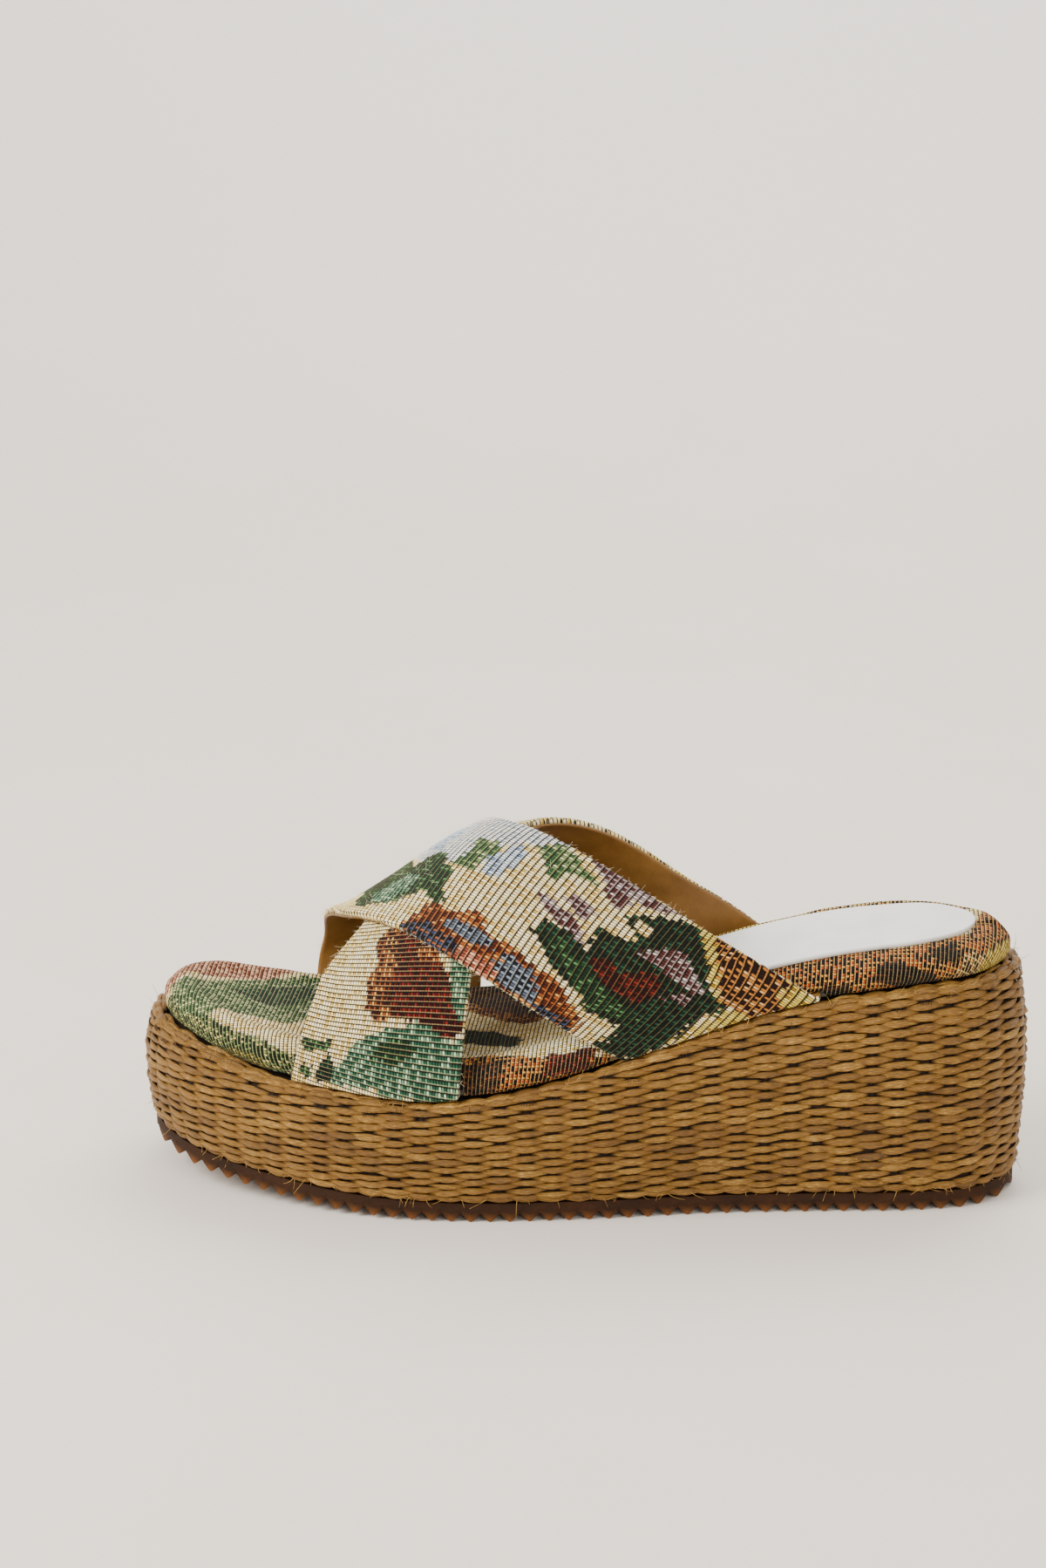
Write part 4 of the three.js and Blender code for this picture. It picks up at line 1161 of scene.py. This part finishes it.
def strap_surface(front_edge, rear_edge, step, across_count):
    """The strap's outer face as rows of points across it, from its outer tail over the arch to the
    inner tail, with each row's share of the way round."""
    front_at = curve_through(list(zip(arch_stations, front_edge)))
    rear_at = curve_through(list(zip(arch_stations, rear_edge)))
    across = np.linspace(0, 1, across_count)

    def row(share):
        share = np.atleast_1d(share)[:, None]
        front, rear = front_at(share), rear_at(share)
        return arch_point(front + (rear - front) * across, share + 0 * across)

    dense = np.linspace(0, 1, 600)
    middle = row(dense)[:, across_count // 2]
    walked = np.concatenate([[0], np.cumsum(np.linalg.norm(np.diff(middle, axis=0), axis=1))])
    count = int(walked[-1] / step)
    share = np.interp(np.linspace(0, walked[-1], count), walked, dense)
    arch = row(share)
    tail_in = np.arange(strap_tail, 0, -1.0)
    start = arch[:1] + np.array([0, 1, 0]) * tail_in[:, None, None]
    end = arch[-1:] - np.array([0, 1, 0]) * tail_in[::-1, None, None]
    points = np.concatenate([start, arch, end])
    shares = np.concatenate([0 * tail_in, share, 0 * tail_in + 1])
    for _ in range(2):
        soft = points.copy()
        soft[1:-1] = (points[:-2] + points[1:-1] + points[2:]) / 3
        near = (np.minimum(shares, 1 - shares) * walked[-1] < 2.5)[:, None, None]
        points = np.where(near, soft, points)
    normal = unit(np.cross(np.gradient(points, axis=1), np.gradient(points, axis=0)))
    if normal[len(points) // 2, across_count // 2, 2] < 0:
        normal = -normal
    return points, normal, shares, across


def lifts(share, lifted):
    """How far the upper strap stands off where it crosses the lower one."""
    height = strap_stack + crossing_gap if lifted else 0
    return height * smooth(share / lift_ramp) * smooth((1 - share) / lift_ramp)


def strap_slab(points, normal, lift, outer_depth, inner_depth, kept):
    """A closed sheet between two depths, given for every point of the strap's face. Its hidden inner
    face has only the columns listed in kept, from the rear edge to the front edge."""
    outer = points + normal * (lift - outer_depth)[..., None]
    inner = (points + normal * (lift - inner_depth)[..., None])[:, kept]
    rows = len(points)
    ring = np.concatenate([outer, inner], 1)
    count = ring.shape[1]
    flat = ring.reshape(-1, 3)
    body = grid_faces(rows, count, loop_columns=True)
    ends = np.stack([np.arange(count), (rows - 1) * count + np.arange(count)[::-1]])
    return flat, outward(flat, [body[:, ::-1], ends])


def edge_distance(points):
    """Distance of each point from the nearer long edge of its strap."""
    step = np.linalg.norm(np.diff(points, axis=1), axis=-1)
    front = np.concatenate([np.zeros((len(points), 1)), np.cumsum(step, 1)], 1)
    return front, np.minimum(front, front[:, -1:] - front)


strap_width = 60
hem_width = 1.3
hem_round = 1.0


def strap_grid(points):
    """The cloth's own directions, as ribs that run square across a strap crossing the foot at a slant:
    the distance along the strap, and the cosine and sine of the angle between the two directions."""
    middle = points[:, points.shape[1] // 2]
    along = np.concatenate([[0], np.cumsum(np.linalg.norm(np.diff(middle, axis=0), axis=1))])[:, None]
    slant = np.sum(unit(np.gradient(middle, axis=0)) * unit(points[:, -1] - points[:, 0]), 1)
    reach = 60
    window = 2 * reach + 1
    slant = np.convolve(np.pad(slant, reach, mode="edge"), np.full(window, 1 / window), "valid")[:, None]
    return along, slant, np.sqrt(1 - slant ** 2)


def strap_depths(share, edge, along, side, ribs, relief):
    """Depths of the tapestry's outer and inner faces below the strap's surface."""
    slack = 0.22 * np.sin(along / 9 + side / 14) + 0.16 * np.sin(along / 23 - side / 8 + 2)
    inwards = np.clip(edge / hem_round, 0, 1)
    rounded = hem_round * (1 - np.sqrt(1 - (1 - inwards) ** 2))
    swell = 0.25 * np.exp(-((edge - 3.2) / 2.2) ** 2)
    arch_only = smooth(np.minimum(share, 1 - share) / 0.04)[:, None]
    outer = rounded + (relief * (1 - ribs) - swell * 0.6 + 0.3 * slack.clip(-0.5, 0.5)) * arch_only
    hem = np.where(edge < hem_width, lining_depth - 0.05, strap_outer)
    on_tail = (share <= 0) | (share >= 1)
    return outer, np.where(on_tail[:, None], strap_outer, hem) + 0 * edge


def kept_columns(columns):
    """Columns of a strap's hidden inner face: all of them near its edges, few between."""
    near = 5
    between = np.arange(near, columns, 12)
    return np.unique(np.concatenate([np.arange(near), between, np.arange(columns - near, columns)]))[::-1]


def add_strap(name, edges, lifted, figures, step, rib_pitch, relief, pale_share):
    """One strap: tapestry outer with hemmed edges, and the tan lining inside it."""
    pitch = np.array([rib_pitch, bead_pitch])
    points, normal, share, across = strap_surface(*edges, step, int(strap_width / step))
    front, edge = edge_distance(points)
    side = front - front[:, -1:] / 2
    lift = lifts(share, lifted)[:, None] + 0 * edge
    along, slant, straight = strap_grid(points)
    weave = np.stack([along + side * slant, side * straight], -1) / pitch
    ribs = np.abs(np.sin(weave[..., 0] * math.pi)) ** 0.6
    outer_depth, inner_depth = strap_depths(share, edge, along, side, ribs, relief)
    kept = kept_columns(points.shape[1])
    flat, faces = strap_slab(points, normal, lift, outer_depth, inner_depth, kept)
    material = tapestry_material(name + "_tapestry", pale_share)
    piece = add_mesh(name + "_tapestry", flat, faces, material, "strap_tapestry")

    def ring_values(values):
        return np.concatenate([values, values[:, kept]], 1).reshape(len(flat), -1)

    both = ring_values(weave)
    shares = ring_values(np.stack([share[:, None] + 0 * across, across + 0 * share[:, None]], -1))
    columns = (slant, straight, front[:, -1:])
    slants, straights, widths = [ring_values(column + 0 * edge)[:, 0] for column in columns]
    arch_length = along[-1, 0] - 2 * strap_tail

    def shifted(steps):
        moved = steps * pitch
        sideways = moved[:, 1] / straights
        return shares + np.stack([(moved[:, 0] - sideways * slants) / arch_length, sideways / widths], 1)

    add_weave(piece, weave_colours("cream", figures, both, shifted), both)
    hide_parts(name + "_outer")
    add_lining(name, edges, lifted)


def add_lining(name, edges, lifted):
    """The tan lining inside a strap, which waves a little."""
    points, normal, share, across = strap_surface(*edges, 1.0, 48)
    _, edge = edge_distance(points)
    lift = lifts(share, lifted)[:, None] + 0 * edge
    on_tail = ((share <= 0) | (share >= 1))[:, None]
    outer_depth = np.where(on_tail, strap_outer + gap, lining_depth) + 0 * edge
    wave = 0.12 * np.sin(share * 90)[:, None] * np.sin(across * 7) * smooth(edge / 6)
    inner_depth = outer_depth + strap_lining + np.where(on_tail, 0, wave)
    flat, faces = strap_slab(points, normal, lift, outer_depth, inner_depth, np.arange(len(across))[::-1])
    piece = add_mesh(name + "_tan", flat, faces, tan_material(), "tan_lining")
    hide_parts(name + "_lining")


crown_fuzz_count = 420
edge_fuzz_count = 360
fuzz_radius = 0.035
fuzz_columns = 30


def add_fuzz():
    """Fine fibres that stand up from both straps' crowns and from their long edges."""
    material = plain_shader("cloth_fuzz", linear(226, 212, 176), linear(244, 236, 212), 700, 0.9, 0.02)
    last = fuzz_columns - 1
    for name, edges, lifted in (("over", over_edges, True), ("under", under_edges, False)):
        points, normal, share, _ = strap_surface(*edges, 2.0, fuzz_columns)
        points = points + normal * lifts(share, lifted)[:, None, None]
        out = unit(np.gradient(points, axis=1))
        row = chance.choice(np.flatnonzero((share > 0.3) & (share < 0.8)), crown_fuzz_count)
        column = chance.integers(1, last, crown_fuzz_count)
        start = points[row, column]
        way = normal[row, column] + 0.7 * chance.normal(size=start.shape)
        length = chance.uniform(0.6, 2.2, crown_fuzz_count)
        add_fibres(name + "_crown_fuzz", start, way, length, fuzz_radius, material, "strap_tapestry")
        row = chance.choice(np.flatnonzero((share > 0.02) & (share < 0.98)), edge_fuzz_count)
        column = chance.choice([0, last], edge_fuzz_count)
        start = points[row, column] - normal[row, column] * 0.5
        away = out[row, column] * np.where(column == 0, -1, 1)[:, None]
        way = away + 0.5 * chance.normal(size=start.shape)
        length = chance.uniform(0.5, 1.6, edge_fuzz_count)
        add_fibres(name + "_edge_fuzz", start, way, length, fuzz_radius, material, "strap_tapestry")


# ---------------------------------------------------------------- hidden CAD nodes
def paint_hidden():
    """Materials of the CAD nodes that no piece replaces."""
    plain = {
        "wedge_core": ("core_foam", (226, 216, 196), (238, 230, 212), 200, 0.9, 0.2),
        "bottom_filler": ("filler_felt", (160, 132, 96), (182, 152, 112), 400, 0.95, 0.2),
        "insole_board": ("fibre_board", (188, 168, 126), (206, 186, 146), 150, 0.9, 0.1),
        "strap_over_interlining": ("interlining", (222, 218, 206), (236, 232, 222), 600, 0.95, 0.1),
    }
    # The straw backing's dark colour is painted shade for the slits.
    looks = {"raffia_backing": shaded_backing_material()}
    for node, (name, dark, light, *surface) in plain.items():
        looks[node] = plain_shader(name, linear(*dark), linear(*light), *surface)
    looks["strap_under_interlining"] = looks["strap_over_interlining"]
    for node, look in looks.items():
        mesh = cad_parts[node].data
        mesh.materials.clear()
        mesh.materials.append(look)


# ---------------------------------------------------------------- the scene
add_camera()
add_stage()
add_studio()
add_straw()
add_warp_threads()
add_frays()
add_outsole()
add_footbed()
add_heel_pad()
add_strap("strap_over", over_edges, True, over_figures,
          step=0.45, rib_pitch=1.85, relief=0.34, pale_share=0.12)
add_strap("strap_under", under_edges, False, under_figures,
          step=0.42, rib_pitch=1.45, relief=0.24, pale_share=0.28)
add_fuzz()
paint_hidden()
